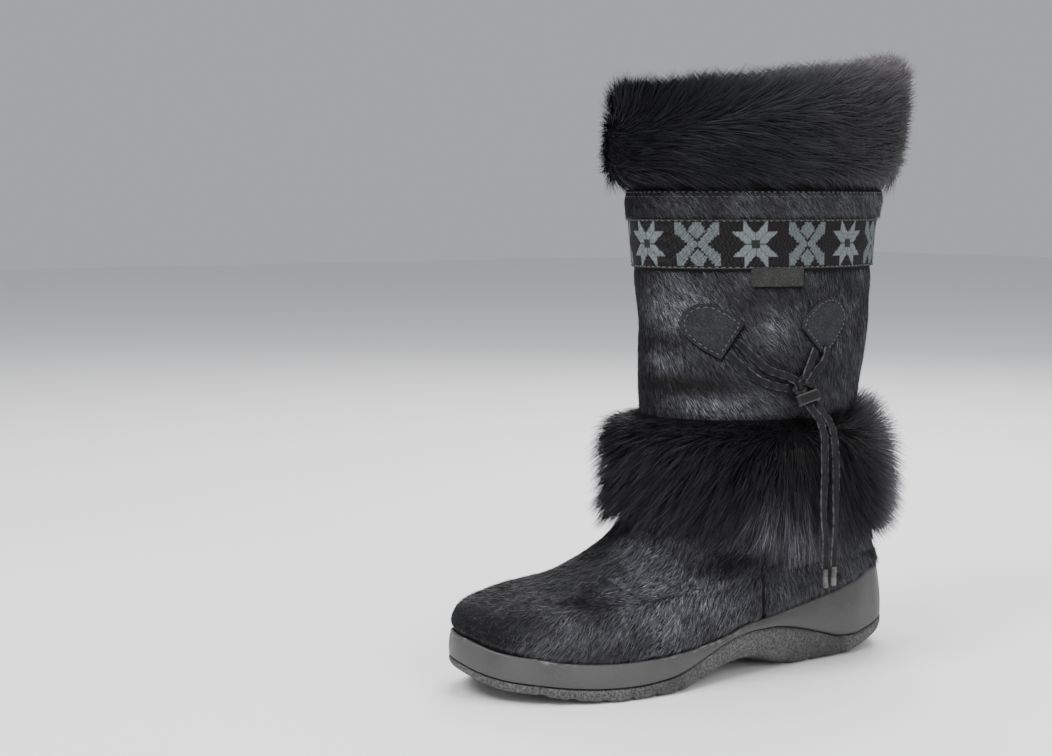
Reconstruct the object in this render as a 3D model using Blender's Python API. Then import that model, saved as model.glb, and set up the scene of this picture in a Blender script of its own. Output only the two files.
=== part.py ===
"""Left winter boot with a fur shaft, a turned-down fur collar, a fur ankle band and ties.

Metres, +Z up. The boot stands on its sole with the toe towards -Y and its outer side towards +X.
The origin lies on the floor under the middle of the heel's flat.

Every wall is one function of a turn round the boot and a row of a table. A turn of 0 is the
heel, a quarter turn the outer side, a half turn the toe and three quarters the inner side.
"""
import math

import bmesh
import bpy
import numpy as np

# named sizes
SOLE_LENGTH = 0.276
BALL_WIDTH = 0.100
BOOT_HEIGHT = 0.331
HEEL_SIDE = 0.046
HEEL_FLAT = 0.062
CLEARANCE = 0.0003

# sole
LIP_WIDTH = 0.0015
RECESS_DEPTH = 0.009
FLOOR_THICKNESS = 0.0022
SOLE_LEAN_HEEL = 0.0025
SOLE_LEAN_TOE = 0.0010
INSOLE_THICKNESS = 0.004
INNER_ARCH_RISE = 0.0025
TOE_TURN = math.radians(10)
JOINT_BEVEL = 0.0008
LIP_BEVEL = 0.0005
INSOLE_BEVEL = 0.001
LUG_WIDTH = 0.0024
LUG_DEPTH = 0.0022
NOTCH_WIDTH = 0.0019
NOTCH_HEIGHT = 0.0068
NOTCH_DEPTH = 0.0020
CUT_PAST = 0.006

# upper and shaft
UPPER_WALL = 0.0022
SHAFT_WALL = 0.0024
LIP_TO_FOOT = 0.001
LIP_TO_BULGE = 0.0035
LAP_CLEARANCE = 0.0006

# bands on the shaft
BRAID_LOW = 0.2160
BRAID_WIDTH = 0.0257
BRAID_THICKNESS = 0.0013
BRAID_GAP = 0.006
TOP_BAND_LOW = BRAID_LOW + BRAID_WIDTH + CLEARANCE
TOP_BAND_WIDTH = 0.0150
TOP_BAND_THICKNESS = 0.0016
PATCH_THICKNESS = 0.0014
LABEL_LENGTH = 0.0285
LABEL_WIDTH = 0.0090
LABEL_THICKNESS = 0.0009
LABEL_STATION = 0.1142

# collar
CUFF_DROP = 0.0020
CUFF_OVER_RIM_FRONT = 0.0071
CUFF_OVER_RIM_BACK = 0.0084
CUFF_HOOK = 0.010
CUFF_TILT_TOP = 0.16
CUFF_TILT_HEM = -0.30
CUFF_LOCK = 0.0024
CUFF_TUFT = 0.0045
CUFF_LOCKS = 26

# ties
LACE_DIAMETER = 0.0030
TIP_LENGTH = 0.0105
TIP_DIAMETER = 0.0036
TIP_BEVEL = 0.001

# rings of a thin plate as shares of its outline, and points round each ring of the boot
PLATE_RINGS = (1.0, 0.7, 0.4, 0.15)
TURN_POINTS = 40
FUR_POINTS = 54

# plan of the sole: station as a share of the length, half width and centre as shares of the ball
PLAN = np.array([
    (0.000, 0.000, 0.000),
    (0.022, 0.170, 0.000),
    (0.090, 0.325, 0.005),
    (0.163, 0.360, 0.010),
    (0.290, 0.350, 0.030),
    (0.435, 0.350, 0.060),
    (0.580, 0.420, 0.050),
    (0.670, 0.480, 0.020),
    (0.760, 0.490, -0.010),
    (0.850, 0.440, -0.040),
    (0.930, 0.325, -0.075),
    (0.978, 0.180, -0.100),
    (1.000, 0.000, -0.100),
])

# heights along the sole: station as a share of the length, height as a share of the heel side
TOP_LINE = np.array([
    (0.000, 1.000), (0.087, 0.989), (0.145, 0.891), (0.214, 0.783), (0.272, 0.728),
    (0.337, 0.674), (0.420, 0.617), (0.456, 0.591), (0.504, 0.526), (0.562, 0.483),
    (0.627, 0.448), (0.728, 0.424), (0.815, 0.433), (0.888, 0.470), (0.914, 0.505),
    (0.938, 0.560), (0.954, 0.600), (0.970, 0.635), (0.985, 0.665), (1.000, 0.685),
])
GROOVE_LINE = np.array([
    (0.000, 0.424), (0.033, 0.380), (0.076, 0.326), (0.120, 0.274), (0.159, 0.235),
    (0.196, 0.243), (0.235, 0.300), (0.294, 0.402), (0.344, 0.474), (0.391, 0.511),
    (0.435, 0.513), (0.457, 0.502), (0.500, 0.465), (0.543, 0.404), (0.612, 0.272),
    (0.678, 0.178), (0.743, 0.148), (0.804, 0.152), (0.870, 0.178), (0.910, 0.208),
    (0.938, 0.262), (0.954, 0.295), (0.970, 0.328), (0.985, 0.365), (1.000, 0.400),
])
GROUND_LINE = np.array([
    (0.000, 0.228), (0.044, 0.200), (0.080, 0.157), (0.116, 0.096), (0.145, 0.048),
    (0.174, 0.007), (0.188, 0.000), (0.319, 0.000), (0.341, 0.026), (0.373, 0.091),
    (0.413, 0.161), (0.446, 0.187), (0.478, 0.180), (0.522, 0.148), (0.562, 0.100),
    (0.598, 0.048), (0.630, 0.011), (0.652, 0.000), (0.768, 0.000), (0.804, 0.009),
    (0.841, 0.030), (0.888, 0.070), (0.912, 0.104), (0.938, 0.155), (0.954, 0.195),
    (0.970, 0.235), (0.985, 0.272), (1.000, 0.305),
])

# layer of tread from its underside to the joint: inset from the plan in metres, share of the thickness
TREAD_ROWS = ((0.0050, 0.00), (0.0018, 0.16), (0.0002, 0.48), (-0.0003, 0.88), (0.0008, 1.00))
LUG_STATIONS = (0.190, 0.272, 0.333, 0.592, 0.645, 0.699, 0.754, 0.808, 0.862, 0.913)

# rows that carry the upper from the sole's edge to its first level row: mix of the two heights,
# stations of front and back as shares of the sole's length, half widths behind and in front
DOME = (
    (0.25, 0.995, 0.0125, 0.462, 0.480),
    (0.50, 0.990, 0.0155, 0.458, 0.478),
    (0.75, 0.980, 0.0190, 0.453, 0.470),
    (0.90, 0.962, 0.0220, 0.448, 0.460),
)

# level rows of the foot: heights in front and behind as shares of the boot's, stations of front
# and back, half widths behind and in front, and blend from the sole's plan (0) to an ellipse (1)
FOOT = (
    (0.139, 0.175, 0.928, 0.025, 0.445, 0.450, 0.00),
    (0.144, 0.184, 0.862, 0.028, 0.445, 0.425, 0.03),
    (0.151, 0.193, 0.815, 0.030, 0.445, 0.405, 0.08),
    (0.163, 0.205, 0.768, 0.034, 0.448, 0.395, 0.18),
    (0.178, 0.220, 0.725, 0.038, 0.450, 0.390, 0.33),
    (0.195, 0.236, 0.685, 0.043, 0.452, 0.395, 0.48),
    (0.213, 0.254, 0.652, 0.048, 0.454, 0.405, 0.62),
    (0.237, 0.273, 0.623, 0.055, 0.456, 0.420, 0.76),
    (0.268, 0.296, 0.600, 0.063, 0.460, 0.440, 0.90),
    (0.314, 0.322, 0.583, 0.076, 0.470, 0.465, 1.00),
)

# level rows of the shaft, all ellipses: heights in front and behind, stations, half width
SHAFT = (
    (0.363, 0.363, 0.571, 0.090, 0.490),
    (0.420, 0.420, 0.566, 0.097, 0.512),
    (0.459, 0.459, 0.568, 0.093, 0.520),
    (0.511, 0.511, 0.570, 0.078, 0.520),
    (0.562, 0.562, 0.570, 0.069, 0.520),
    (0.634, 0.634, 0.582, 0.063, 0.520),
    (0.713, 0.713, 0.594, 0.052, 0.523),
    (0.764, 0.764, 0.599, 0.039, 0.534),
    (0.816, 0.816, 0.600, 0.034, 0.538),
    (0.903, 0.961, 0.601, 0.030, 0.540),
)
LAP_ROWS = 2

# outer rows of the ankle fur: heights, stations and half width as on the shaft, but the front
# height holds at the instep alone
FUR = (
    (0.258, 0.215, 0.646, 0.023, 0.560),
    (0.272, 0.238, 0.650, 0.020, 0.640),
    (0.294, 0.270, 0.652, 0.016, 0.680),
    (0.326, 0.326, 0.652, 0.017, 0.695),
    (0.372, 0.372, 0.648, 0.022, 0.685),
    (0.402, 0.402, 0.636, 0.034, 0.645),
    (0.416, 0.416, 0.618, 0.048, 0.595),
)
FUR_FRONT_POWER = 3.0
FUR_TUCK = 0.002
FUR_UNDER_LAP = 0.0014
FUR_CLEARANCE = 0.0013
FUR_LOCK = 0.0034
FUR_TUFT = 0.0055
FUR_LOCKS = 30

# collar profile: distance out of the shaft's wall in metres, height as a share of the collar's,
# and how much of the locks' depth shows
CUFF_PROFILE = (
    (0.0085, -0.020, 0.4),
    (0.0130, 0.060, 1.0),
    (0.0158, 0.200, 1.0),
    (0.0170, 0.400, 1.0),
    (0.0168, 0.600, 1.0),
    (0.0145, 0.780, 1.0),
    (0.0100, 0.920, 1.0),
    (0.0030, 0.990, 0.6),
    (-0.0050, 0.985, 0.5),
    (-0.0110, 0.900, 0.3),
    (-0.0125, 0.760, 0.0),
    (-0.0095, 0.640, 0.0),
)

# outlines of the two tie patches: station and height as shares, turning from the round end
PATCH_FRONT = (
    (0.556, 0.556), (0.558, 0.570), (0.556, 0.583), (0.550, 0.592), (0.540, 0.598), (0.528, 0.598),
    (0.514, 0.592), (0.500, 0.584), (0.487, 0.576), (0.475, 0.567), (0.486, 0.549), (0.498, 0.530),
    (0.510, 0.510), (0.532, 0.524), (0.546, 0.538),
)
PATCH_REAR = (
    (0.293, 0.606), (0.280, 0.604), (0.267, 0.598), (0.257, 0.590), (0.250, 0.579), (0.250, 0.567),
    (0.256, 0.556), (0.270, 0.543), (0.284, 0.530), (0.298, 0.520), (0.310, 0.511), (0.331, 0.528),
    (0.348, 0.544), (0.366, 0.560), (0.360, 0.573), (0.347, 0.583), (0.330, 0.595), (0.312, 0.603),
)

# routes of the laces, chosen by hand: x, y, z in metres
LACE_FRONT = (
    (0.0408, -0.0735, 0.1785), (0.0452, -0.0665, 0.1705), (0.0492, -0.0590, 0.1635),
    (0.0530, -0.0512, 0.1603), (0.0558, -0.0449, 0.1566), (0.0566, -0.0432, 0.1510),
    (0.0590, -0.0418, 0.1470), (0.0634, -0.0405, 0.1420), (0.0672, -0.0392, 0.1370),
    (0.0700, -0.0388, 0.1300), (0.0718, -0.0398, 0.1200), (0.0730, -0.0408, 0.1080),
    (0.0726, -0.0410, 0.0960), (0.0714, -0.0395, 0.0840), (0.0702, -0.0370, 0.0720),
    (0.0690, -0.0357, 0.0590),
)
LACE_LOOP = (
    (0.0376, -0.0772, 0.1722), (0.0428, -0.0700, 0.1640), (0.0473, -0.0620, 0.1575),
    (0.0513, -0.0545, 0.1545), (0.0536, -0.0492, 0.1535),
)
LACE_REAR = (
    (0.0555, -0.0320, 0.1735), (0.0552, -0.0345, 0.1680), (0.0553, -0.0375, 0.1620),
    (0.0562, -0.0395, 0.1570), (0.0570, -0.0392, 0.1515), (0.0596, -0.0375, 0.1470),
    (0.0642, -0.0358, 0.1420), (0.0682, -0.0340, 0.1370), (0.0708, -0.0328, 0.1300),
    (0.0726, -0.0330, 0.1200), (0.0738, -0.0335, 0.1080), (0.0734, -0.0332, 0.0960),
    (0.0720, -0.0318, 0.0840), (0.0708, -0.0313, 0.0720), (0.0700, -0.0308, 0.0600),
)

# sleeves round the laces: centre, direction, half width, half depth, wall, length, bulge
KNOT = ((0.0565, -0.0418, 0.1543), (0.10, 0.12, -1.0), 0.0050, 0.0027, 0.0012, 0.0040, 0.0009)
SLIDE = ((0.0590, -0.0400, 0.1485), (0.35, 0.18, -0.9), 0.0049, 0.0028, 0.0011, 0.0052, 0.0)


def clear_scene():
    """Remove what the file holds at the start."""
    for item in list(bpy.data.objects):
        bpy.data.objects.remove(item, do_unlink=True)


def material(name, colour, roughness, metallic=0.0):
    """Principled material of one plain colour."""
    made = bpy.data.materials.new(name)
    made.use_nodes = True
    shader = made.node_tree.nodes["Principled BSDF"]
    shader.inputs["Base Color"].default_value = (*colour, 1.0)
    shader.inputs["Roughness"].default_value = roughness
    shader.inputs["Metallic"].default_value = metallic
    made.diffuse_color = (*colour, 1.0)
    return made


def smooth_curve(knots, values, at):
    """Monotone cubic through (knots, values): no overshoot between two rows of a table."""
    knots = np.asarray(knots, float)
    values = np.asarray(values, float)
    step = np.diff(knots)
    slope = np.diff(values) / step
    tangent = np.zeros_like(values)
    tangent[0] = slope[0]
    tangent[-1] = slope[-1]
    same = slope[:-1] * slope[1:] > 0
    before = np.where(same, slope[:-1], 1.0)
    after = np.where(same, slope[1:], 1.0)
    weight_a = 2 * step[1:] + step[:-1]
    weight_b = step[1:] + 2 * step[:-1]
    mean = (weight_a + weight_b) / (weight_a / before + weight_b / after)
    tangent[1:-1] = np.where(same, mean, 0.0)
    at = np.clip(at, knots[0], knots[-1])
    i = np.clip(np.searchsorted(knots, at, side="right") - 1, 0, len(step) - 1)
    t = (at - knots[i]) / step[i]
    return ((2 * t ** 3 - 3 * t ** 2 + 1) * values[i] + (t ** 3 - 2 * t ** 2 + t) * step[i] * tangent[i]
            + (3 * t ** 2 - 2 * t ** 3) * values[i + 1] + (t ** 3 - t ** 2) * step[i] * tangent[i + 1])


def turn(count):
    """Even turns round the boot, starting at the heel."""
    return np.arange(count) * 2 * math.pi / count


def share_of(phi):
    """Share of the way from back to front at a turn."""
    return (1 - np.cos(phi)) / 2


def line_share(phi):
    """Station at which the sole's lines are read: their peak lies to the inner side of the toe."""
    share = share_of(phi)
    return share_of(phi - TOE_TURN * smooth_step((share - 0.90) / 0.09))


def station_y(share):
    """Y of a station that is a share of the sole's length from the back of the heel."""
    return HEEL_FLAT - share * SOLE_LENGTH


def smooth_step(value):
    """0 to 1 with flat ends."""
    value = np.clip(value, 0, 1)
    return value * value * (3 - 2 * value)


def plan_half(share):
    """Half width of the sole's plan, as a share of the ball's width."""
    return smooth_curve(np.arccos(1 - 2 * PLAN[:, 0]), PLAN[:, 1], np.arccos(1 - 2 * np.clip(share, 0, 1)))


def plan_centre(share):
    """Middle of the sole's plan, as a share of the ball's width."""
    return smooth_curve(np.arccos(1 - 2 * PLAN[:, 0]), PLAN[:, 2], np.arccos(1 - 2 * np.clip(share, 0, 1)))


def plan_ring(phi, inset=0.0):
    """Outline of the sole in plan, moved in along its normal by inset."""
    def raw(angle):
        share = share_of(angle)
        across = plan_centre(share) + np.sign(np.sin(angle)) * plan_half(share)
        return across * BALL_WIDTH, station_y(share)

    step = 1e-3
    x, y = raw(phi)
    ahead_x, ahead_y = raw(phi + step)
    behind_x, behind_y = raw(phi - step)
    along_x = ahead_x - behind_x
    along_y = ahead_y - behind_y
    size = np.hypot(along_x, along_y)
    return x + along_y / size * inset, y - along_x / size * inset


def line_height(table, share):
    """Height along the sole from one of the three lines."""
    return HEEL_SIDE * smooth_curve(table[:, 0], table[:, 1], share)


def lean(share):
    """How far the sole's side leans in at its top."""
    return SOLE_LEAN_HEEL + (SOLE_LEAN_TOE - SOLE_LEAN_HEEL) * smooth_step((share - 0.20) / 0.30)


def floor_height(share):
    """Height of the midsole's recess, never nearer the joint than its floor's thickness."""
    deep = line_height(TOP_LINE, share) - RECESS_DEPTH
    return np.maximum(deep, line_height(GROOVE_LINE, share) + FLOOR_THICKNESS)


def sole_ring(phi, inset, height):
    """Ring that follows the sole's plan at the given heights."""
    x, y = plan_ring(phi, inset)
    return np.stack([x, y, height + 0 * x], axis=1)


def level_ring(phi, front, back, back_half, front_half, blend, height):
    """Ring whose plan goes from the sole's own shape to an ellipse as blend goes from 0 to 1."""
    share = share_of(phi)
    station = back + (front - back) * share
    shape = (1 - blend) * plan_half(share) / PLAN[:, 1].max() + blend * np.abs(np.sin(phi))
    half = back_half + (front_half - back_half) * smooth_step((share - 0.25) / 0.5)
    across = (1 - blend) * plan_centre(share) + np.sign(np.sin(phi)) * half * shape
    return np.stack([across * BALL_WIDTH, station_y(station), height + 0 * share], axis=1)


def upper_inset(share):
    """Distance of the upper's outer face inside the sole's plan, within the lip."""
    return lean(share) + LIP_WIDTH + CLEARANCE


def skin_rings(phi):
    """Outer face of foot and shaft without offset: one ring for each row, from sole to rim."""
    share = share_of(phi)
    top = line_height(TOP_LINE, line_share(phi))
    rings = [
        sole_ring(phi, upper_inset(share), floor_height(line_share(phi)) + CLEARANCE),
        sole_ring(phi, upper_inset(share), top + LIP_TO_FOOT),
        sole_ring(phi, lean(share) + CLEARANCE, top + LIP_TO_BULGE),
    ]
    level_front, level_back = FOOT[0][:2]
    for mix, front, back, back_half, front_half in DOME:
        level = BOOT_HEIGHT * (level_back + (level_front - level_back) * share)
        station = back + (front - back) * line_share(phi)
        edge = line_height(TOP_LINE, station) + LIP_TO_BULGE
        height = (1 - mix) * edge + mix * level
        rings.append(level_ring(phi, front, back, back_half, front_half, 0.0, height))
    for front_height, back_height, front, back, back_half, front_half, blend in FOOT:
        height = BOOT_HEIGHT * (back_height + (front_height - back_height) * share)
        rings.append(level_ring(phi, front, back, back_half, front_half, blend, height))
    for front_height, back_height, front, back, half in SHAFT:
        height = BOOT_HEIGHT * (back_height + (front_height - back_height) * share)
        rings.append(level_ring(phi, front, back, half, half, 1.0, height))
    return np.stack(rings)


UPPER_ROWS = 3 + len(DOME) + len(FOOT)


def skin(phi, lift):
    """Skin moved out along its normal by lift, one value or one for each row."""
    step = 1e-3
    rings = skin_rings(phi)
    along = skin_rings(phi + step) - skin_rings(phi - step)
    up = np.gradient(rings, axis=0)
    normal = np.cross(up, along)
    normal /= np.linalg.norm(normal, axis=2, keepdims=True)
    lift = np.broadcast_to(np.asarray(lift, float), (len(rings),))
    return rings + normal * lift[:, None, None]


def wall_at(phi, height, lift):
    """Points level with height on the skin, moved out level by lift."""
    phi = np.asarray(phi, float)
    height = np.broadcast_to(np.asarray(height, float), phi.shape)
    step = 1e-3

    def section(angle):
        rings = skin_rings(angle)[1:]
        x = [np.interp(z, rings[:, i, 2], rings[:, i, 0]) for i, z in enumerate(height)]
        y = [np.interp(z, rings[:, i, 2], rings[:, i, 1]) for i, z in enumerate(height)]
        return np.array(x), np.array(y)

    x, y = section(phi)
    ahead_x, ahead_y = section(phi + step)
    behind_x, behind_y = section(phi - step)
    along_x = ahead_x - behind_x
    along_y = ahead_y - behind_y
    size = np.hypot(along_x, along_y)
    return np.stack([x - along_y / size * lift, y + along_x / size * lift, height], axis=1)


def turn_at(station, height):
    """Turn on the outer side of the shaft at a station and height, both in metres."""
    rows = np.array(FOOT + tuple((*row[:4], row[4], row[4], 1.0) for row in SHAFT))
    front = np.interp(height, rows[:, 0] * BOOT_HEIGHT, rows[:, 2]) * SOLE_LENGTH
    back = np.interp(height, rows[:, 1] * BOOT_HEIGHT, rows[:, 3]) * SOLE_LENGTH
    return np.arccos(1 - 2 * (station - back) / (front - back))


def add_object(name, vertices, faces, made_of):
    """Closed mesh object with its faces turned outwards."""
    mesh = bpy.data.meshes.new(name)
    mesh.from_pydata([tuple(point) for point in vertices], [], faces)
    shape = bmesh.new()
    shape.from_mesh(mesh)
    bmesh.ops.recalc_face_normals(shape, faces=shape.faces)
    shape.to_mesh(mesh)
    shape.free()
    mesh.shade_smooth()
    mesh.set_sharp_from_angle(angle=math.radians(40))
    mesh.materials.append(made_of)
    item = bpy.data.objects.new(name, mesh)
    bpy.context.scene.collection.objects.link(item)
    return item


def band_faces(first, second, count, closed=True):
    """Quads between two rows of count vertices that start at first and second."""
    last = count if closed else count - 1
    return [(first + i, first + (i + 1) % count, second + (i + 1) % count, second + i)
            for i in range(last)]


def ladder_faces(start, count):
    """Faces that close a ring from its outer side straight across to its inner side."""
    half = count // 2
    faces = [(start, start + 1, start + count - 1)]
    for i in range(1, half - 1):
        faces.append((start + i, start + i + 1, start + count - i - 1, start + count - i))
    faces.append((start + half - 1, start + half, start + half + 1))
    return faces


def loft(name, rings, made_of, wrap=False):
    """Solid through rings: wrap joins the last ring to the first, otherwise both ends are closed."""
    count = rings[0].shape[0]
    faces = []
    pairs = len(rings) if wrap else len(rings) - 1
    for i in range(pairs):
        faces += band_faces(i * count, (i + 1) % len(rings) * count, count)
    if not wrap:
        faces += ladder_faces(0, count)
        faces += ladder_faces((len(rings) - 1) * count, count)
    return add_object(name, np.concatenate(rings), faces, made_of)


def plate(name, outline, low, high, made_of):
    """Thin plate on the shaft inside an outline of (station, height), between two lifts."""
    outline = np.asarray(outline, float)
    middle = outline.mean(axis=0)
    rings = [middle + (outline - middle) * part for part in PLATE_RINGS]
    points = np.concatenate(rings + [middle[None]])
    phi = turn_at(points[:, 0], points[:, 1])
    count = len(outline)
    vertices = np.concatenate([wall_at(phi, points[:, 1], high), wall_at(phi, points[:, 1], low)])
    faces = band_faces(0, len(points), count)
    for side in (0, len(points)):
        for ring in range(len(rings) - 1):
            faces += band_faces(side + ring * count, side + (ring + 1) * count, count)
        last = side + (len(rings) - 1) * count
        faces += [(last + i, last + (i + 1) % count, last + count) for i in range(count)]
    return add_object(name, vertices, faces, made_of)


def lock_wave(phi, row, count):
    """Fused locks of fur: rounded ridges with sharp valleys that shift from row to row."""
    slow = np.abs(np.sin(count * phi / 2 + 0.9 * row + 0.6 * np.sin(3 * phi + row)))
    fast = np.abs(np.sin(count * 0.8 * phi + 1.7 * row))
    return 0.75 * slow + 0.25 * fast


def ground_height(phi):
    """Underside of the sole: the inner side's arch is a little higher than the outer side's."""
    share = share_of(phi)
    window = smooth_step((share - 0.34) / 0.10) * smooth_step((0.64 - share) / 0.10)
    return line_height(GROUND_LINE, line_share(phi)) + INNER_ARCH_RISE * window * np.maximum(0, -np.sin(phi))


def make_outsole(made_of):
    """Tread layer: rounded underneath, flat at heel and ball, with lug grooves cut across."""
    phi = turn(TURN_POINTS)
    ground = ground_height(phi)
    thickness = line_height(GROOVE_LINE, line_share(phi)) - CLEARANCE / 2 - ground
    rings = [sole_ring(phi, inset, ground + part * thickness) for inset, part in TREAD_ROWS]
    item = loft("outsole", rings, made_of)
    cut(item, "lug_cutter", [lug_box(share) for share in LUG_STATIONS])
    cut(item, "notch_cutter", [notch_box(share, side) for share in LUG_STATIONS for side in (1, -1)])
    return item


def lug_box(share):
    """Corners of the groove across the sole at a station."""
    y = station_y(share)
    low = float(line_height(GROUND_LINE, np.array([share]))[0])
    half = LUG_WIDTH / 2
    return [(x, y + dy, z) for z in (-CUT_PAST, low + LUG_DEPTH)
            for x, dy in ((-BALL_WIDTH, -half), (BALL_WIDTH, -half), (BALL_WIDTH, half), (-BALL_WIDTH, half))]


def notch_box(share, side):
    """Corners of the notch that carries a groove up the sole's side, outer (1) or inner (-1)."""
    phi = np.array([side * math.acos(1 - 2 * share)])
    inner = sole_ring(phi, NOTCH_DEPTH, 0.0)[0]
    outer = sole_ring(phi, -CUT_PAST, 0.0)[0]
    out = (outer - inner)[:2]
    along = np.array([-out[1], out[0]]) / np.linalg.norm(out) * NOTCH_WIDTH / 2
    low = float(line_height(GROUND_LINE, np.array([share]))[0])
    corners = (inner[:2] - along, outer[:2] - along, outer[:2] + along, inner[:2] + along)
    return [(x, y, z) for z in (-CUT_PAST, low + NOTCH_HEIGHT) for x, y in corners]


def cut(item, name, boxes):
    """Boolean cut of an object with boxes, each given by its four low and four high corners."""
    vertices = []
    faces = []
    for corners in boxes:
        start = len(vertices)
        vertices += corners
        faces += [tuple(start + i for i in face) for face in
                  ((3, 2, 1, 0), (4, 5, 6, 7), (0, 1, 5, 4), (1, 2, 6, 5), (2, 3, 7, 6), (3, 0, 4, 7))]
    cutter = add_object(name, vertices, faces, item.data.materials[0])
    cutter.hide_render = True
    cutter.display_type = "WIRE"
    modifier = item.modifiers.new(name, "BOOLEAN")
    modifier.operation = "DIFFERENCE"
    modifier.object = cutter


def make_midsole(made_of):
    """Smooth wedge with a feather lip round a recess that takes the upper."""
    phi = turn(TURN_POINTS)
    share = share_of(phi)
    joint = line_height(GROOVE_LINE, line_share(phi)) + CLEARANCE / 2
    top = line_height(TOP_LINE, line_share(phi))
    side = lean(share)
    tall = top - joint
    rings = [
        sole_ring(phi, JOINT_BEVEL, joint),
        sole_ring(phi, 0.0, joint + 0.10 * tall),
        sole_ring(phi, 0.45 * side, joint + 0.55 * tall),
        sole_ring(phi, side, top - LIP_BEVEL),
        sole_ring(phi, side + LIP_BEVEL, top),
        sole_ring(phi, side + LIP_WIDTH, top),
        sole_ring(phi, side + LIP_WIDTH, floor_height(line_share(phi))),
    ]
    return loft("midsole", rings, made_of)


def make_insole(made_of):
    """Pile footbed that lies in the upper on the midsole's floor."""
    phi = turn(TURN_POINTS)
    share = share_of(phi)
    inset = upper_inset(share) + UPPER_WALL + CLEARANCE
    low = floor_height(line_share(phi)) + CLEARANCE
    rings = [
        sole_ring(phi, inset, low),
        sole_ring(phi, inset, low + INSOLE_THICKNESS - INSOLE_BEVEL),
        sole_ring(phi, inset + INSOLE_BEVEL, low + INSOLE_THICKNESS),
    ]
    return loft("insole", rings, made_of)


def make_upper(made_of):
    """Foot of the boot: one wall, open under the foot and at the ankle."""
    phi = turn(TURN_POINTS)
    outer = skin(phi, 0.0)[:UPPER_ROWS]
    inner = skin(phi, -UPPER_WALL)[:UPPER_ROWS]
    inner[0, :, 2] = outer[0, :, 2]
    return loft("upper", list(outer) + list(inner[::-1]), made_of, wrap=True)


def shaft_lift(outside):
    """Lift of the shaft's face for each row: it laps over the upper and then comes in to the skin."""
    rows = UPPER_ROWS + len(SHAFT)
    lift = np.zeros(rows)
    lift[:UPPER_ROWS] = SHAFT_WALL + LAP_CLEARANCE
    lift[UPPER_ROWS] = 0.5 * (SHAFT_WALL + LAP_CLEARANCE)
    return lift if outside else lift - SHAFT_WALL


def make_shaft(made_of):
    """Leg of the boot: one wall that laps over the upper and carries the collar on its rim."""
    phi = turn(TURN_POINTS)
    start = UPPER_ROWS - LAP_ROWS
    outer = skin(phi, shaft_lift(True))[start:]
    inner = skin(phi, shaft_lift(False))[start:]
    return loft("shaft", list(outer) + list(inner[::-1]), made_of, wrap=True)


def band_heights(low, high):
    """Heights of a band's rows: its two edges and each row of the shaft between them."""
    rows = [row[0] * BOOT_HEIGHT for row in SHAFT]
    return [low] + [height for height in rows if low < height < high] + [high]


def make_ring_band(name, low, width, thickness, made_of):
    """Closed band round the shaft."""
    phi = turn(TURN_POINTS)
    heights = band_heights(low, low + width)
    rings = [wall_at(phi, z, CLEARANCE) for z in heights]
    rings += [wall_at(phi, z, CLEARANCE + thickness) for z in heights[::-1]]
    return loft(name, rings, made_of, wrap=True)


def make_braid(made_of):
    """Woven band whose two ends meet short of each other at the back seam."""
    end = BRAID_GAP / 2 / (SHAFT[6][4] * BALL_WIDTH)
    phi = np.concatenate([[end], turn(TURN_POINTS)[1:], [2 * math.pi - end]])
    heights = band_heights(BRAID_LOW, BRAID_LOW + BRAID_WIDTH)
    rows = [wall_at(phi, z, CLEARANCE) for z in heights]
    rows += [wall_at(phi, z, CLEARANCE + BRAID_THICKNESS) for z in heights[::-1]]
    count = len(phi)
    faces = []
    for i in range(len(rows)):
        faces += band_faces(i * count, (i + 1) % len(rows) * count, count, closed=False)
    faces.append(tuple(i * count for i in range(len(rows))))
    faces.append(tuple(i * count + count - 1 for i in range(len(rows))))
    return add_object("braid_band", np.concatenate(rows), faces, made_of)


def make_label(made_of):
    """Plain tab that hangs below the braid on the outer side."""
    high = BRAID_LOW - CLEARANCE
    low = high - LABEL_WIDTH
    near = LABEL_STATION - LABEL_LENGTH / 2
    stations = np.linspace(near, near + LABEL_LENGTH, 6)
    outline = [(s, high) for s in stations] + [(s, low) for s in stations[::-1]]
    return plate("side_label", outline, CLEARANCE, CLEARANCE + LABEL_THICKNESS, made_of)


def make_patch(name, shares, made_of):
    """Leather patch that holds the ends of a tie."""
    outline = [(station * SOLE_LENGTH, height * BOOT_HEIGHT) for station, height in shares]
    return plate(name, outline, CLEARANCE, CLEARANCE + PATCH_THICKNESS, made_of)


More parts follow.
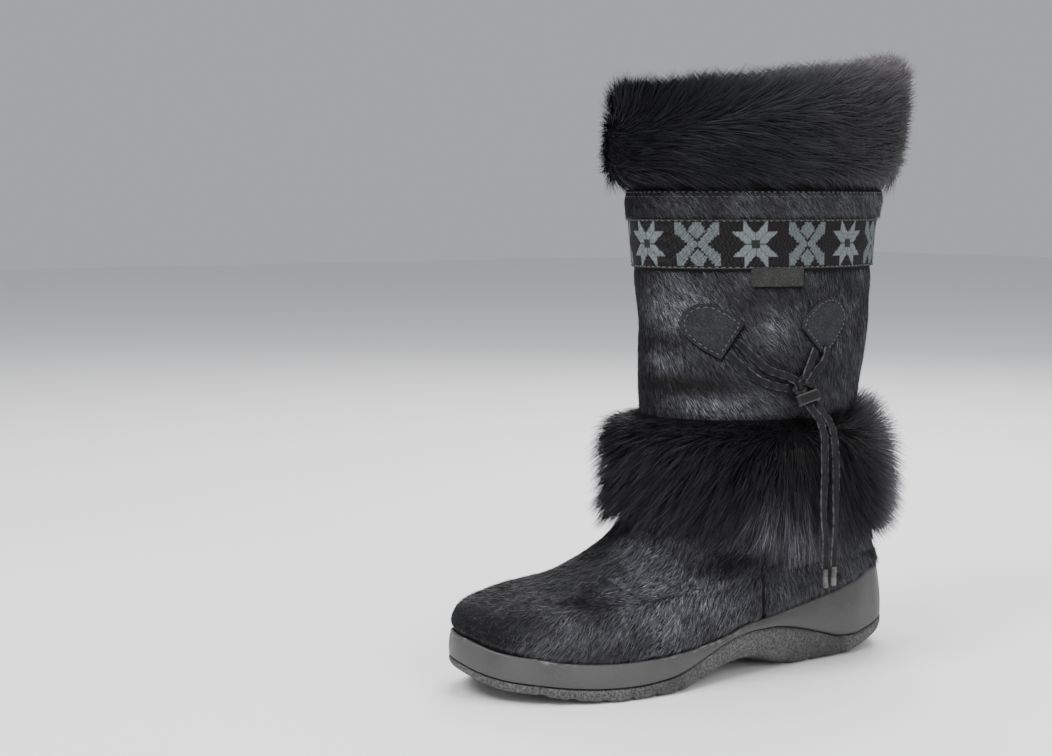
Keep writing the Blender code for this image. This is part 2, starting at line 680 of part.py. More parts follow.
def make_cuff(made_of):
    """Turned-down fur collar: hooked over the shaft's rim, with locks fused on its face."""
    phi = turn(FUR_POINTS)
    share = share_of(phi)
    rim_front, rim_back = SHAFT[-1][:2]
    rim = BOOT_HEIGHT * (rim_back + (rim_front - rim_back) * share)
    hem = TOP_BAND_LOW + TOP_BAND_WIDTH + CUFF_DROP
    tall = rim + CUFF_OVER_RIM_BACK + (CUFF_OVER_RIM_FRONT - CUFF_OVER_RIM_BACK) * share - hem
    rings = []
    for row, (out, height, lock) in enumerate(CUFF_PROFILE):
        wave = lock_wave(phi, row, CUFF_LOCKS)
        behind = np.maximum(np.cos(phi), 0)
        backward = 1 + CUFF_TILT_TOP * height * np.cos(phi) + CUFF_TILT_HEM * (1 - height) * behind
        lift = out * backward + lock * CUFF_LOCK * (wave - 0.5)
        ring = wall_at(phi, hem + height * tall, lift)
        if row == 0:
            ring[:, 2] -= CUFF_TUFT * wave ** 2
        rings.append(ring)
    inside = -(SHAFT_WALL + 2 * CLEARANCE)
    rings.append(wall_at(phi, rim - CUFF_HOOK, inside))
    rings.append(wall_at(phi, rim + CLEARANCE, inside))
    rings.append(wall_at(phi, rim + CLEARANCE, 2 * CLEARANCE))
    rings.append(wall_at(phi, (hem + rim) / 2, 2 * CLEARANCE))
    rings.append(wall_at(phi, hem, 2 * CLEARANCE))
    return loft("cuff", rings, made_of, wrap=True)


def make_fur_band(made_of):
    """Fur round the ankle: hugs upper and shaft inside, hangs over the instep in locks."""
    phi = turn(FUR_POINTS)
    share = share_of(phi)
    rise = share ** FUR_FRONT_POWER
    rings = []
    for row, (front_height, back_height, front, back, half) in enumerate(FUR):
        wave = lock_wave(phi, row, FUR_LOCKS)
        height = BOOT_HEIGHT * (back_height + (front_height - back_height) * rise)
        ring = level_ring(phi, front, back, half, half, 1.0, height)
        out = ring[:, :2] - np.array([0.0, station_y((front + back) / 2)])
        out /= np.linalg.norm(out, axis=1, keepdims=True)
        ring[:, :2] += out * (FUR_LOCK * (wave - 0.5))[:, None]
        if row == 0:
            ring[:, 2] -= FUR_TUFT * wave ** 2
        rings.append(ring)
    lap = UPPER_ROWS - LAP_ROWS
    face = skin(phi, shaft_lift(True) + 2 * CLEARANCE)
    rings += [face[row] for row in range(UPPER_ROWS + 2, lap - 1, -1)]
    high = skin_rings(phi)[lap][:, 2] - FUR_UNDER_LAP
    low = BOOT_HEIGHT * (FUR[0][1] + (FUR[0][0] - FUR[0][1]) * rise) + FUR_TUCK
    for part in (1.0, 0.75, 0.5, 0.25, 0.0):
        rings.append(wall_at(phi, low + part * (high - low), FUR_CLEARANCE))
    return loft("fur_band", rings, made_of, wrap=True)


def make_lace(name, points, made_of):
    """Round cord along a smooth curve through the route's points."""
    points = np.asarray(points, float)
    run = np.concatenate([[0], np.cumsum(np.linalg.norm(np.diff(points, axis=0), axis=1))])
    count = max(6, int(run[-1] / (2.5 * LACE_DIAMETER)) + 1)
    at = np.linspace(0, run[-1], count)
    route = np.stack([smooth_curve(run, points[:, axis], at) for axis in range(3)], axis=1)
    curve = bpy.data.curves.new(name, "CURVE")
    curve.dimensions = "3D"
    curve.bevel_depth = LACE_DIAMETER / 2
    curve.bevel_resolution = 2
    curve.use_fill_caps = True
    spline = curve.splines.new("POLY")
    spline.points.add(count - 1)
    for point, place in zip(spline.points, route):
        point.co = (*place, 1.0)
    curve.materials.append(made_of)
    item = bpy.data.objects.new(name, curve)
    bpy.context.scene.collection.objects.link(item)
    return item


def frame_along(direction, outward):
    """Unit axes along a cord, across it and away from the boot."""
    along = np.asarray(direction, float) / np.linalg.norm(direction)
    across = np.cross(along, outward)
    across /= np.linalg.norm(across)
    return along, across, np.cross(across, along)


def make_sleeve(name, sizes, made_of):
    """Flat sleeve round the laces: an oval tube with a wall, rounded where bulge is above 0."""
    centre, direction, half_wide, half_deep, wall, length, bulge = sizes
    along, across, away = frame_along(direction, (1.0, 0.0, 0.0))
    angle = turn(16)
    rings = []

    def oval(extra, shift):
        x = np.sign(np.cos(angle)) * np.abs(np.cos(angle)) ** 0.7 * (half_wide + extra)
        y = np.sign(np.sin(angle)) * np.abs(np.sin(angle)) ** 0.7 * (half_deep + extra)
        return (np.asarray(centre)[None] + along[None] * shift + x[:, None] * across[None]
                + y[:, None] * away[None])

    rings.append(oval(wall, -length / 2))
    rings.append(oval(wall + bulge, -length / 6))
    rings.append(oval(wall + bulge, length / 6))
    rings.append(oval(wall, length / 2))
    rings.append(oval(0.0, length / 2))
    rings.append(oval(0.0, -length / 2))
    return loft(name, rings, made_of, wrap=True)


def make_tip(name, route, made_of):
    """Metal end of a lace, just past the lace's own end."""
    end = np.asarray(route[-1], float)
    along, across, away = frame_along(end - np.asarray(route[-2], float), (1.0, 0.0, 0.0))
    start = end + along * CLEARANCE
    angle = turn(12)
    rings = []
    for shift, part in ((0.0, 0.8), (TIP_BEVEL, 1.0), (TIP_LENGTH - TIP_BEVEL, 1.0), (TIP_LENGTH, 0.75)):
        radius = TIP_DIAMETER / 2 * part
        rings.append(start[None] + along[None] * shift + radius * np.cos(angle)[:, None] * across[None]
                     + radius * np.sin(angle)[:, None] * away[None])
    return loft(name, rings, made_of)


def main():
    """Build every piece."""
    clear_scene()
    tread = material("tread_rubber", (0.045, 0.041, 0.038), 0.85)
    smooth_rubber = material("midsole_rubber", (0.075, 0.075, 0.073), 0.6)
    pile = material("pile", (0.05, 0.047, 0.05), 0.95)
    calf_hair = material("calf_hair", (0.012, 0.012, 0.016), 0.5)
    long_fur = material("long_fur", (0.008, 0.008, 0.011), 0.6)
    weave = material("woven_braid", (0.06, 0.055, 0.06), 0.9)
    suede = material("suede", (0.035, 0.035, 0.035), 0.9)
    tab = material("tab_leather", (0.10, 0.095, 0.085), 0.7)
    lace = material("lace_leather", (0.05, 0.05, 0.05), 0.75)
    metal = material("tip_metal", (0.25, 0.25, 0.24), 0.45, 0.8)

    make_outsole(tread)
    make_midsole(smooth_rubber)
    make_insole(pile)
    make_upper(calf_hair)
    make_shaft(calf_hair)
    make_ring_band("top_band", TOP_BAND_LOW, TOP_BAND_WIDTH, TOP_BAND_THICKNESS, calf_hair)
    make_braid(weave)
    make_label(tab)
    make_patch("patch_front", PATCH_FRONT, suede)
    make_patch("patch_rear", PATCH_REAR, suede)
    make_cuff(long_fur)
    make_fur_band(long_fur)
    make_lace("lace_front", LACE_FRONT, lace)
    make_lace("lace_loop", LACE_LOOP, lace)
    make_lace("lace_rear", LACE_REAR, lace)
    make_sleeve("lace_knot", KNOT, lace)
    make_sleeve("lace_slide", SLIDE, lace)
    make_tip("lace_tip_front", LACE_FRONT, metal)
    make_tip("lace_tip_rear", LACE_REAR, metal)


main()
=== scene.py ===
"""Looks of a left fur winter boot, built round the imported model: smooth shells, hair, woven band and ties.

Metres, +Z up, toe towards -Y, outer side towards +X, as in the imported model. A turn of 0 is the heel,
a quarter turn the outer side, a half turn the toe and three quarters the inner side.
"""

import math

import bmesh
import bpy
import numpy as np
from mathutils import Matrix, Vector


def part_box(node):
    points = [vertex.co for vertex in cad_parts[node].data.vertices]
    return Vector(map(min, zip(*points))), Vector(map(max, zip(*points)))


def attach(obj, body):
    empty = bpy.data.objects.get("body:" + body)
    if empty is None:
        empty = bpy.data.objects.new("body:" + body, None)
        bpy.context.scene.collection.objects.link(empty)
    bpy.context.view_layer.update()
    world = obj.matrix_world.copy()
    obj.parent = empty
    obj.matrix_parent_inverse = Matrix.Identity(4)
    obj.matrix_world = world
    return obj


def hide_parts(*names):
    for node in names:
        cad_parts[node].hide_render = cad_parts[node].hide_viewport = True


bl_info = {
    "name": "Fur Winter Boot",
    "version": (1, 0, 0),
    "blender": (4, 5, 0),
    "location": "View3D > Sidebar > Boot",
    "description": "Builds the shells, hair, woven band, ties and stage of a fur winter boot",
    "category": "Add Mesh",
}

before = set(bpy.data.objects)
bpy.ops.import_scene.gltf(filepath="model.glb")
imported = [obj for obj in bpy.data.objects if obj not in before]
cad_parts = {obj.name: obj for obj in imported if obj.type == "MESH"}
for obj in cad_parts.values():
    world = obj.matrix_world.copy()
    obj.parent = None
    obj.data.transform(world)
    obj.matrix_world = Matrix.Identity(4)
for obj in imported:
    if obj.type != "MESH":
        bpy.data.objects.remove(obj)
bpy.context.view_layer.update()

# sizes read from the imported model
SOLE_LOW, SOLE_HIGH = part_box("midsole")
SOLE_LENGTH = SOLE_HIGH.y - SOLE_LOW.y
HEEL_BACK = SOLE_HIGH.y
BRAID_LOW, BRAID_HIGH = (corner.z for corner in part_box("braid_band"))
BAND_LOW, BAND_HIGH = (corner.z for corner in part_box("top_band"))
KNOT_CENTRE = sum(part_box("lace_knot"), Vector()) / 2
SLIDE_CENTRE = sum(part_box("lace_slide"), Vector()) / 2

# driving sizes, as in the part
BALL_WIDTH = 0.100
BOOT_HEIGHT = 0.331
HEEL_SIDE = 0.046
CLEARANCE = 0.0003
LIP_WIDTH = 0.0015
LIP_TO_BULGE = 0.0035
SOLE_LEAN_HEEL = 0.0025
SOLE_LEAN_TOE = 0.0010
RECESS_DEPTH = 0.009
FLOOR_THICKNESS = 0.0022
INSOLE_THICKNESS = 0.004
INNER_ARCH_RISE = 0.0025
TOE_TURN = math.radians(10)
UPPER_WALL = 0.0022
SHAFT_WALL = 0.0024
LAP_CLEARANCE = 0.0006
LAP_EDGE = 0.0014
CUFF_DROP = 0.0020
CUFF_OVER_RIM_FRONT = 0.0071
CUFF_OVER_RIM_BACK = 0.0084
FUR_FRONT_POWER = 3.0
LUG_WIDTH = 0.0024

# columns round the boot: of the upper bodies, and of the skin and the other sheets that hair grows from
BODY_COLUMNS = 200
ROOT_COLUMNS = 160

TAU = 2 * math.pi
UPRIGHT = np.array([0.0, 0.0, 1.0])

# plan of the sole: station as a share of the length, half width and centre as shares of the ball
PLAN = np.array([
    (0.000, 0.000, 0.000), (0.022, 0.170, 0.000), (0.090, 0.325, 0.005), (0.163, 0.360, 0.010),
    (0.290, 0.350, 0.030), (0.435, 0.350, 0.060), (0.580, 0.420, 0.050), (0.670, 0.480, 0.020),
    (0.760, 0.490, -0.010), (0.850, 0.440, -0.040), (0.930, 0.325, -0.075), (0.978, 0.180, -0.100),
    (1.000, 0.000, -0.100),
])

# heights along the sole: station as a share of the length, height as a share of the heel side
TOP_LINE = np.array([
    (0.000, 1.000), (0.087, 0.989), (0.145, 0.891), (0.214, 0.783), (0.272, 0.728),
    (0.337, 0.674), (0.420, 0.617), (0.456, 0.591), (0.504, 0.526), (0.562, 0.483),
    (0.627, 0.448), (0.728, 0.424), (0.815, 0.433), (0.888, 0.470), (0.914, 0.505),
    (0.938, 0.560), (0.954, 0.600), (0.970, 0.635), (0.985, 0.665), (1.000, 0.685),
])
GROOVE_LINE = np.array([
    (0.000, 0.424), (0.033, 0.380), (0.076, 0.326), (0.120, 0.274), (0.159, 0.235),
    (0.196, 0.243), (0.235, 0.300), (0.294, 0.402), (0.344, 0.474), (0.391, 0.511),
    (0.435, 0.513), (0.457, 0.502), (0.500, 0.465), (0.543, 0.404), (0.612, 0.272),
    (0.678, 0.178), (0.743, 0.148), (0.804, 0.152), (0.870, 0.178), (0.910, 0.208),
    (0.938, 0.262), (0.954, 0.295), (0.970, 0.328), (0.985, 0.365), (1.000, 0.400),
])
GROUND_LINE = np.array([
    (0.000, 0.228), (0.044, 0.200), (0.080, 0.157), (0.116, 0.096), (0.145, 0.048),
    (0.174, 0.007), (0.188, 0.000), (0.319, 0.000), (0.341, 0.026), (0.373, 0.091),
    (0.413, 0.161), (0.446, 0.187), (0.478, 0.180), (0.522, 0.148), (0.562, 0.100),
    (0.598, 0.048), (0.630, 0.011), (0.652, 0.000), (0.768, 0.000), (0.804, 0.009),
    (0.841, 0.030), (0.888, 0.070), (0.912, 0.104), (0.938, 0.155), (0.954, 0.195),
    (0.970, 0.235), (0.985, 0.272), (1.000, 0.305),
])
LUG_STATIONS = (0.190, 0.272, 0.333, 0.592, 0.645, 0.699, 0.754, 0.808, 0.862, 0.913)

# where the short hair parts at the side seam, and where the leg's axis stands as a share of the sole
SEAM_Y = -0.051
LEG_AXIS_STATION = 0.33

# lower rows of the foot, as in the part: mix of edge and level, stations in front and behind, half widths
DOME = (
    (0.25, 0.995, 0.0125, 0.462, 0.480), (0.50, 0.990, 0.0155, 0.458, 0.478),
    (0.75, 0.980, 0.0190, 0.453, 0.470), (0.90, 0.962, 0.0220, 0.448, 0.460),
)

# upper rows: heights in front and behind, stations in front and behind, half widths, share of ellipse
FOOT = (
    (0.139, 0.175, 0.928, 0.025, 0.445, 0.450, 0.00), (0.144, 0.184, 0.862, 0.028, 0.445, 0.425, 0.03),
    (0.151, 0.193, 0.815, 0.030, 0.445, 0.405, 0.08), (0.163, 0.205, 0.768, 0.034, 0.448, 0.395, 0.18),
    (0.178, 0.220, 0.725, 0.038, 0.450, 0.390, 0.33), (0.195, 0.236, 0.685, 0.043, 0.452, 0.395, 0.48),
    (0.213, 0.254, 0.652, 0.048, 0.454, 0.405, 0.62), (0.237, 0.273, 0.623, 0.055, 0.456, 0.420, 0.76),
    (0.268, 0.296, 0.600, 0.063, 0.460, 0.440, 0.90), (0.314, 0.322, 0.583, 0.076, 0.470, 0.465, 1.00),
)

# rows of the leg and of the ankle fur: heights in front and behind, stations in front and behind, half width
SHAFT = (
    (0.363, 0.363, 0.571, 0.090, 0.490), (0.420, 0.420, 0.566, 0.097, 0.512),
    (0.459, 0.459, 0.568, 0.093, 0.520), (0.511, 0.511, 0.570, 0.078, 0.520),
    (0.562, 0.562, 0.570, 0.069, 0.520), (0.634, 0.634, 0.582, 0.063, 0.520),
    (0.713, 0.713, 0.594, 0.052, 0.523), (0.764, 0.764, 0.599, 0.039, 0.534),
    (0.816, 0.816, 0.600, 0.034, 0.538), (0.903, 0.961, 0.601, 0.030, 0.540),
)
FUR = (
    (0.258, 0.215, 0.646, 0.023, 0.560), (0.272, 0.238, 0.650, 0.020, 0.640),
    (0.294, 0.270, 0.652, 0.016, 0.680), (0.326, 0.326, 0.652, 0.017, 0.695),
    (0.372, 0.372, 0.648, 0.022, 0.685), (0.402, 0.402, 0.636, 0.034, 0.645),
    (0.416, 0.416, 0.618, 0.048, 0.595),
)

# profile of the collar, from its hem over the rim: distance out of the leg, share of its height
CUFF_PROFILE = (
    (0.0060, -0.010), (0.0130, 0.060), (0.0158, 0.200), (0.0170, 0.400), (0.0168, 0.600), (0.0145, 0.780),
    (0.0100, 0.920), (0.0030, 0.990), (-0.0050, 0.985), (-0.0110, 0.900), (-0.0125, 0.760), (-0.0095, 0.640),
)
CUFF_TILT_TOP = 0.16
CUFF_TILT_HEM = -0.30

# how deep in its sheet each kind of hair starts
CALF_ROOT_DEPTH = 0.0002
COLLAR_ROOT_DEPTH = 0.0008
ANKLE_ROOT_DEPTH = 0.0020

# tufts that hang from the collar's hem: turn and width
HEM_TUFTS = ((3.65, 0.22), (0.52, 0.20))

# how far hair stands past the face it grows from, and how high the ankle fur's top closes on the leg
COLLAR_HAIR_DEPTH = 0.0040
ANKLE_HAIR_DEPTH = 0.0070
ANKLE_FILLET = 0.0045

# routes of the ties, repeated from the part
LACE_FRONT = (
    (0.0408, -0.0735, 0.1785), (0.0452, -0.0665, 0.1705), (0.0492, -0.0590, 0.1635),
    (0.0530, -0.0512, 0.1603), (0.0558, -0.0449, 0.1566), (0.0566, -0.0432, 0.1510),
    (0.0590, -0.0418, 0.1470), (0.0634, -0.0405, 0.1420), (0.0672, -0.0392, 0.1370),
    (0.0700, -0.0388, 0.1300), (0.0718, -0.0398, 0.1200), (0.0730, -0.0408, 0.1080),
    (0.0726, -0.0410, 0.0960), (0.0714, -0.0395, 0.0840), (0.0702, -0.0370, 0.0720),
    (0.0690, -0.0357, 0.0590),
)
LACE_LOOP = (
    (0.0376, -0.0772, 0.1722), (0.0428, -0.0700, 0.1640), (0.0473, -0.0620, 0.1575),
    (0.0513, -0.0545, 0.1545), (0.0536, -0.0492, 0.1535),
)
LACE_REAR = (
    (0.0555, -0.0320, 0.1735), (0.0552, -0.0345, 0.1680), (0.0553, -0.0375, 0.1620),
    (0.0562, -0.0395, 0.1570), (0.0570, -0.0392, 0.1515), (0.0596, -0.0375, 0.1470),
    (0.0642, -0.0358, 0.1420), (0.0682, -0.0340, 0.1370), (0.0708, -0.0328, 0.1300),
    (0.0726, -0.0330, 0.1200), (0.0738, -0.0335, 0.1080), (0.0734, -0.0332, 0.0960),
    (0.0720, -0.0318, 0.0840), (0.0708, -0.0313, 0.0720), (0.0700, -0.0308, 0.0600),
)
LACE_STRAP = (
    (0.0552, -0.0232, 0.1742), (0.0550, -0.0240, 0.1700), (0.0550, -0.0268, 0.1655),
    (0.0553, -0.0318, 0.1612), (0.0562, -0.0362, 0.1578), (0.0570, -0.0398, 0.1548),
)

# outlines of the two tie patches: station and height as shares, turning from the round end; then the two
# corners between which each runs straight
PATCHES = {
    "patch_front": (
        (0.556, 0.556), (0.558, 0.570), (0.556, 0.583), (0.550, 0.592), (0.540, 0.598), (0.528, 0.598),
        (0.514, 0.592), (0.500, 0.584), (0.487, 0.576), (0.475, 0.567), (0.486, 0.549), (0.498, 0.530),
        (0.510, 0.510), (0.532, 0.524), (0.546, 0.538),
    ),
    "patch_rear": (
        (0.293, 0.606), (0.280, 0.604), (0.267, 0.598), (0.257, 0.590), (0.250, 0.579), (0.250, 0.567),
        (0.256, 0.556), (0.270, 0.543), (0.284, 0.530), (0.298, 0.520), (0.310, 0.511), (0.331, 0.528),
        (0.348, 0.544), (0.366, 0.560), (0.360, 0.573), (0.347, 0.583), (0.330, 0.595), (0.312, 0.603),
    ),
}
PATCH_CORNERS = {"patch_front": (9, 12), "patch_rear": (10, 13)}

# painted sheen of the hair: soft lighter patches that stand in for its highlights; centre, reach along x, y
# and z, strength
PAINTED_SHEEN = (
    ((0.012, -0.095, 0.196), (0.020, 0.024, 0.014), 1.8),
    ((0.047, -0.055, 0.187), (0.010, 0.010, 0.009), 0.85),
    ((0.034, -0.086, 0.146), (0.024, 0.022, 0.006), 1.35),
    ((0.004, -0.096, 0.168), (0.013, 0.016, 0.006), 0.95),
    ((0.028, -0.092, 0.202), (0.008, 0.008, 0.005), 0.5),
    ((0.012, -0.118, 0.074), (0.017, 0.013, 0.012), 1.0),
    ((0.036, -0.118, 0.052), (0.022, 0.022, 0.017), 0.95),
    ((0.045, -0.086, 0.042), (0.018, 0.028, 0.013), 1.15),
    ((0.046, -0.125, 0.032), (0.012, 0.018, 0.010), 0.6),
    ((0.010, -0.180, 0.046), (0.040, 0.022, 0.014), 0.22),
)

# painted shade of the hair: soft darker patches, in the same columns
PAINTED_SHADE = (
    ((0.016, -0.094, 0.157), (0.046, 0.034, 0.0055), 1.0),
    ((0.006, -0.096, 0.180), (0.018, 0.020, 0.0045), 0.85),
    ((0.044, -0.062, 0.203), (0.030, 0.030, 0.006), 0.6),
    ((0.052, -0.045, 0.166), (0.020, 0.025, 0.014), 0.6),
    ((0.050, -0.045, 0.134), (0.030, 0.030, 0.006), 0.8),
    ((0.018, -0.195, 0.042), (0.018, 0.016, 0.011), 0.85),
    ((0.026, -0.160, 0.050), (0.014, 0.010, 0.010), 0.9),
    ((0.044, -0.140, 0.034), (0.010, 0.006, 0.006), 0.35),
    ((0.050, -0.070, 0.062), (0.022, 0.034, 0.007), 1.0),
    ((0.052, -0.052, 0.050), (0.014, 0.008, 0.020), 0.7),
    ((0.046, -0.150, 0.026), (0.014, 0.016, 0.005), 0.6),
)


def smooth_step(value):
    """0 to 1 with flat ends: 3 v squared minus 2 v cubed."""
    value = np.clip(value, 0, 1)
    return value * value * (3 - 2 * value)


def smooth_curve(knots, values, at):
    """Monotone cubic through (knots, values), with the harmonic mean of the two slopes at a knot."""
    knots = np.asarray(knots, float)
    values = np.asarray(values, float)
    step = np.diff(knots)
    slope = np.diff(values) / step
    tangent = np.zeros_like(values)
    tangent[0] = slope[0]
    tangent[-1] = slope[-1]
    same = slope[:-1] * slope[1:] > 0
    before = np.where(same, slope[:-1], 1.0)
    after = np.where(same, slope[1:], 1.0)
    weight_a = 2 * step[1:] + step[:-1]
    weight_b = step[1:] + 2 * step[:-1]
    mean = (weight_a + weight_b) / (weight_a / before + weight_b / after)
    tangent[1:-1] = np.where(same, mean, 0.0)
    at = np.clip(at, knots[0], knots[-1])
    i = np.clip(np.searchsorted(knots, at, side="right") - 1, 0, len(step) - 1)
    t = (at - knots[i]) / step[i]
    return ((2 * t ** 3 - 3 * t ** 2 + 1) * values[i] + (t ** 3 - 2 * t ** 2 + t) * step[i] * tangent[i]
            + (3 * t ** 2 - 2 * t ** 3) * values[i + 1] + (t ** 3 - t ** 2) * step[i] * tangent[i + 1])


def turns(count):
    """Even turns round the boot from the heel."""
    return np.arange(count) * TAU / count


def share_of(phi):
    """Share of the way from back to front: (1 - cos turn) / 2."""
    return (1 - np.cos(phi)) / 2


def line_share(phi):
    """Station at which the sole's lines are read: their peak lies to the inner side of the toe."""
    share = share_of(phi)
    return share_of(phi - TOE_TURN * smooth_step((share - 0.90) / 0.09))


def station_y(share):
    """Y of a station that is a share of the sole's length from the back of the heel."""
    return HEEL_BACK - share * SOLE_LENGTH


def away_from_leg(points):
    """Level vectors from the leg's axis to points."""
    away = points - np.array([0.0, station_y(LEG_AXIS_STATION), 0.0])
    away[:, 2] = 0
    return away


def tilted(front, back, share):
    """Height between a row's heights in front and behind, both shares of the boot's height."""
    return BOOT_HEIGHT * (back + (front - back) * share)


def plan_read(share):
    """Half width and middle of the plan, smooth curves over the turn at which each station lies."""
    turn = np.arccos(1 - 2 * np.clip(share, 0, 1))
    return [smooth_curve(np.arccos(1 - 2 * PLAN[:, 0]), PLAN[:, column], turn) for column in (1, 2)]


def plan_ring(phi, inset=0.0):
    """Outline of the sole, moved in along its level normal by inset."""
    def raw(angle):
        share = share_of(angle)
        half, middle = plan_read(share)
        return (middle + np.sign(np.sin(angle)) * half) * BALL_WIDTH, station_y(share)

    step = 1e-3
    x, y = raw(phi)
    ahead_x, ahead_y = raw(phi + step)
    behind_x, behind_y = raw(phi - step)
    along_x = ahead_x - behind_x
    along_y = ahead_y - behind_y
    size = np.hypot(along_x, along_y)
    return x + along_y / size * inset, y - along_x / size * inset


def line_height(table, share):
    """Height of one of the sole's three lines at a station."""
    return HEEL_SIDE * smooth_curve(table[:, 0], table[:, 1], share)


def ground_height(phi):
    """Underside of the sole, with the inner side's arch a little higher."""
    share = share_of(phi)
    window = smooth_step((share - 0.34) / 0.10) * smooth_step((0.64 - share) / 0.10)
    return line_height(GROUND_LINE, line_share(phi)) + INNER_ARCH_RISE * window * np.maximum(0, -np.sin(phi))


def lean(share):
    """How far the sole's side leans in at its top."""
    return SOLE_LEAN_HEEL + (SOLE_LEAN_TOE - SOLE_LEAN_HEEL) * smooth_step((share - 0.20) / 0.30)


def floor_height(share):
    """Height of the midsole's recess, never nearer the joint than its floor's thickness."""
    deep = line_height(TOP_LINE, share) - RECESS_DEPTH
    return np.maximum(deep, line_height(GROOVE_LINE, share) + FLOOR_THICKNESS)


def sole_ring(phi, inset, height):
    """Ring that follows the sole's plan at the given heights."""
    x, y = plan_ring(phi, inset)
    return np.stack([x, y, height + 0 * x], axis=1)


def level_ring(phi, front, back, back_half, front_half, blend, height):
    """Ring from the sole's own plan (blend 0) to an ellipse (blend 1)."""
    share = share_of(phi)
    station = back + (front - back) * share
    plan_half, middle = plan_read(share)
    shape = (1 - blend) * plan_half / PLAN[:, 1].max() + blend * np.abs(np.sin(phi))
    half = back_half + (front_half - back_half) * smooth_step((share - 0.25) / 0.5)
    across = (1 - blend) * middle + np.sign(np.sin(phi)) * half * shape
    return np.stack([across * BALL_WIDTH, station_y(station), height + 0 * share], axis=1)


def skin_rings(phi):
    """Outer face of foot and leg: one ring for each row of the tables, from the sole to the rim."""
    share = share_of(phi)
    line = line_share(phi)
    top = line_height(TOP_LINE, line)
    inset = lean(share) + LIP_WIDTH + CLEARANCE
    rings = [
        sole_ring(phi, inset, floor_height(line) + CLEARANCE),
        sole_ring(phi, inset, top + 0.001),
        sole_ring(phi, lean(share) + CLEARANCE, top + LIP_TO_BULGE),
    ]
    level = tilted(*FOOT[0][:2], share)
    for mix, front, back, back_half, front_half in DOME:
        edge = line_height(TOP_LINE, back + (front - back) * line) + LIP_TO_BULGE
        rings.append(level_ring(phi, front, back, back_half, front_half, 0.0, (1 - mix) * edge + mix * level))
    for front_height, back_height, *shape in FOOT:
        rings.append(level_ring(phi, *shape, tilted(front_height, back_height, share)))
    for front_height, back_height, front, back, half in SHAFT:
        height = tilted(front_height, back_height, share)
        rings.append(level_ring(phi, front, back, half, half, 1.0, height))
    return np.stack(rings)


FOOT_ROWS = 3 + len(DOME) + len(FOOT)
ALL_ROWS = FOOT_ROWS + len(SHAFT)


class Sheet:
    """A surface over turn and row, read smoothly between its rows and turns (Catmull-Rom both ways)."""

    def __init__(self, rings):
        self.rings = np.asarray(rings, float)
        self.rows, self.count = self.rings.shape[:2]

    @staticmethod
    def weights(t):
        """The four Catmull-Rom weights at a share t of the way between the middle two points."""
        return np.stack([-0.5 * t + t ** 2 - 0.5 * t ** 3, 1 - 2.5 * t ** 2 + 1.5 * t ** 3,
                         0.5 * t + 2 * t ** 2 - 1.5 * t ** 3, -0.5 * t ** 2 + 0.5 * t ** 3])

    def at(self, phi, row):
        """Points at turns and rows, both arrays of one length."""
        u = np.mod(np.asarray(phi, float) / TAU, 1.0) * self.count
        row = np.clip(np.asarray(row, float), 0, self.rows - 1)
        i = np.floor(u).astype(int)
        j = np.minimum(np.floor(row).astype(int), self.rows - 2)
        weight_u = self.weights(u - i)
        weight_v = self.weights(row - j)
        total = np.zeros((len(u), 3))
        for b in range(4):
            rows = np.clip(j + b - 1, 0, self.rows - 1)
            for a in range(4):
                point = self.rings[rows, np.mod(i + a - 1, self.count)]
                total += (weight_u[a] * weight_v[b])[:, None] * point
        return total

    def axes(self, phi, row):
        """Point, unit direction round, unit direction up the rows, and outward normal."""
        step_u = 0.01
        step_v = 0.05
        point = self.at(phi, row)
        round_ = unit(self.at(phi + step_u, row) - self.at(phi - step_u, row))
        up = self.at(phi, np.minimum(row + step_v, self.rows - 1)) - self.at(phi, np.maximum(row - step_v, 0))
        normal = unit(np.cross(up, round_))
        return point, round_, np.cross(round_, normal), normal

    def grid(self, columns, rows):
        """Grid of points: rows is an array of row positions."""
        phi = turns(columns)
        return np.stack([self.at(phi, np.full(columns, row)) for row in rows])

    def scatter(self, rng, count, low, high):
        """Turns and rows of count points spread evenly by area between two rows."""
        columns = 180
        rows = np.linspace(low, high, 80)
        grid = self.grid(columns, rows)
        across = np.roll(grid, -1, axis=1) - grid
        upward = np.diff(grid, axis=0)
        area = np.linalg.norm(np.cross(across[:-1], upward), axis=2)
        total = np.cumsum(area.ravel())
        pick = np.searchsorted(total, rng.random(count) * total[-1])
        line, column = np.divmod(np.minimum(pick, area.size - 1), columns)
        phi = (column + rng.random(count)) * TAU / columns
        return phi, rows[line] + rng.random(count) * (rows[1] - rows[0])


def unit(vectors):
    """Vectors at length 1."""
    return vectors / np.maximum(np.linalg.norm(vectors, axis=-1, keepdims=True), 1e-12)


def swing(first, second, angle):
    """First turned towards second, by an angle for each row."""
    return first * np.cos(angle)[:, None] + second * np.sin(angle)[:, None]


def run_along(points):
    """Length along a line of points, from 0 at the first."""
    return np.concatenate([[0], np.cumsum(np.linalg.norm(np.diff(points, axis=0), axis=1))])


def spread(values, shape):
    """One value, a value for each row or a value for each point, as a grid of that shape."""
    values = np.asarray(values, float)
    return np.broadcast_to(values[:, None] if values.ndim == 1 else values, shape)


def offset_grid(grid, distance):
    """A grid of rings moved out along its normals, cross(up, round), by a distance for each row or point."""
    round_ = np.roll(grid, -1, axis=1) - np.roll(grid, 1, axis=1)
    up = np.gradient(grid, axis=0)
    return grid + unit(np.cross(up, round_)) * spread(distance, grid.shape[:2])[:, :, None]


SKIN = Sheet(skin_rings(turns(ROOT_COLUMNS)))


def row_at(height):
    """Row of the leg at a level height: the tables' own heights, read backwards."""
    heights = np.array([(row[0] + row[1]) / 2 for row in FOOT + SHAFT]) * BOOT_HEIGHT
    return FOOT_ROWS - len(FOOT) + np.interp(height, heights, np.arange(len(heights)))


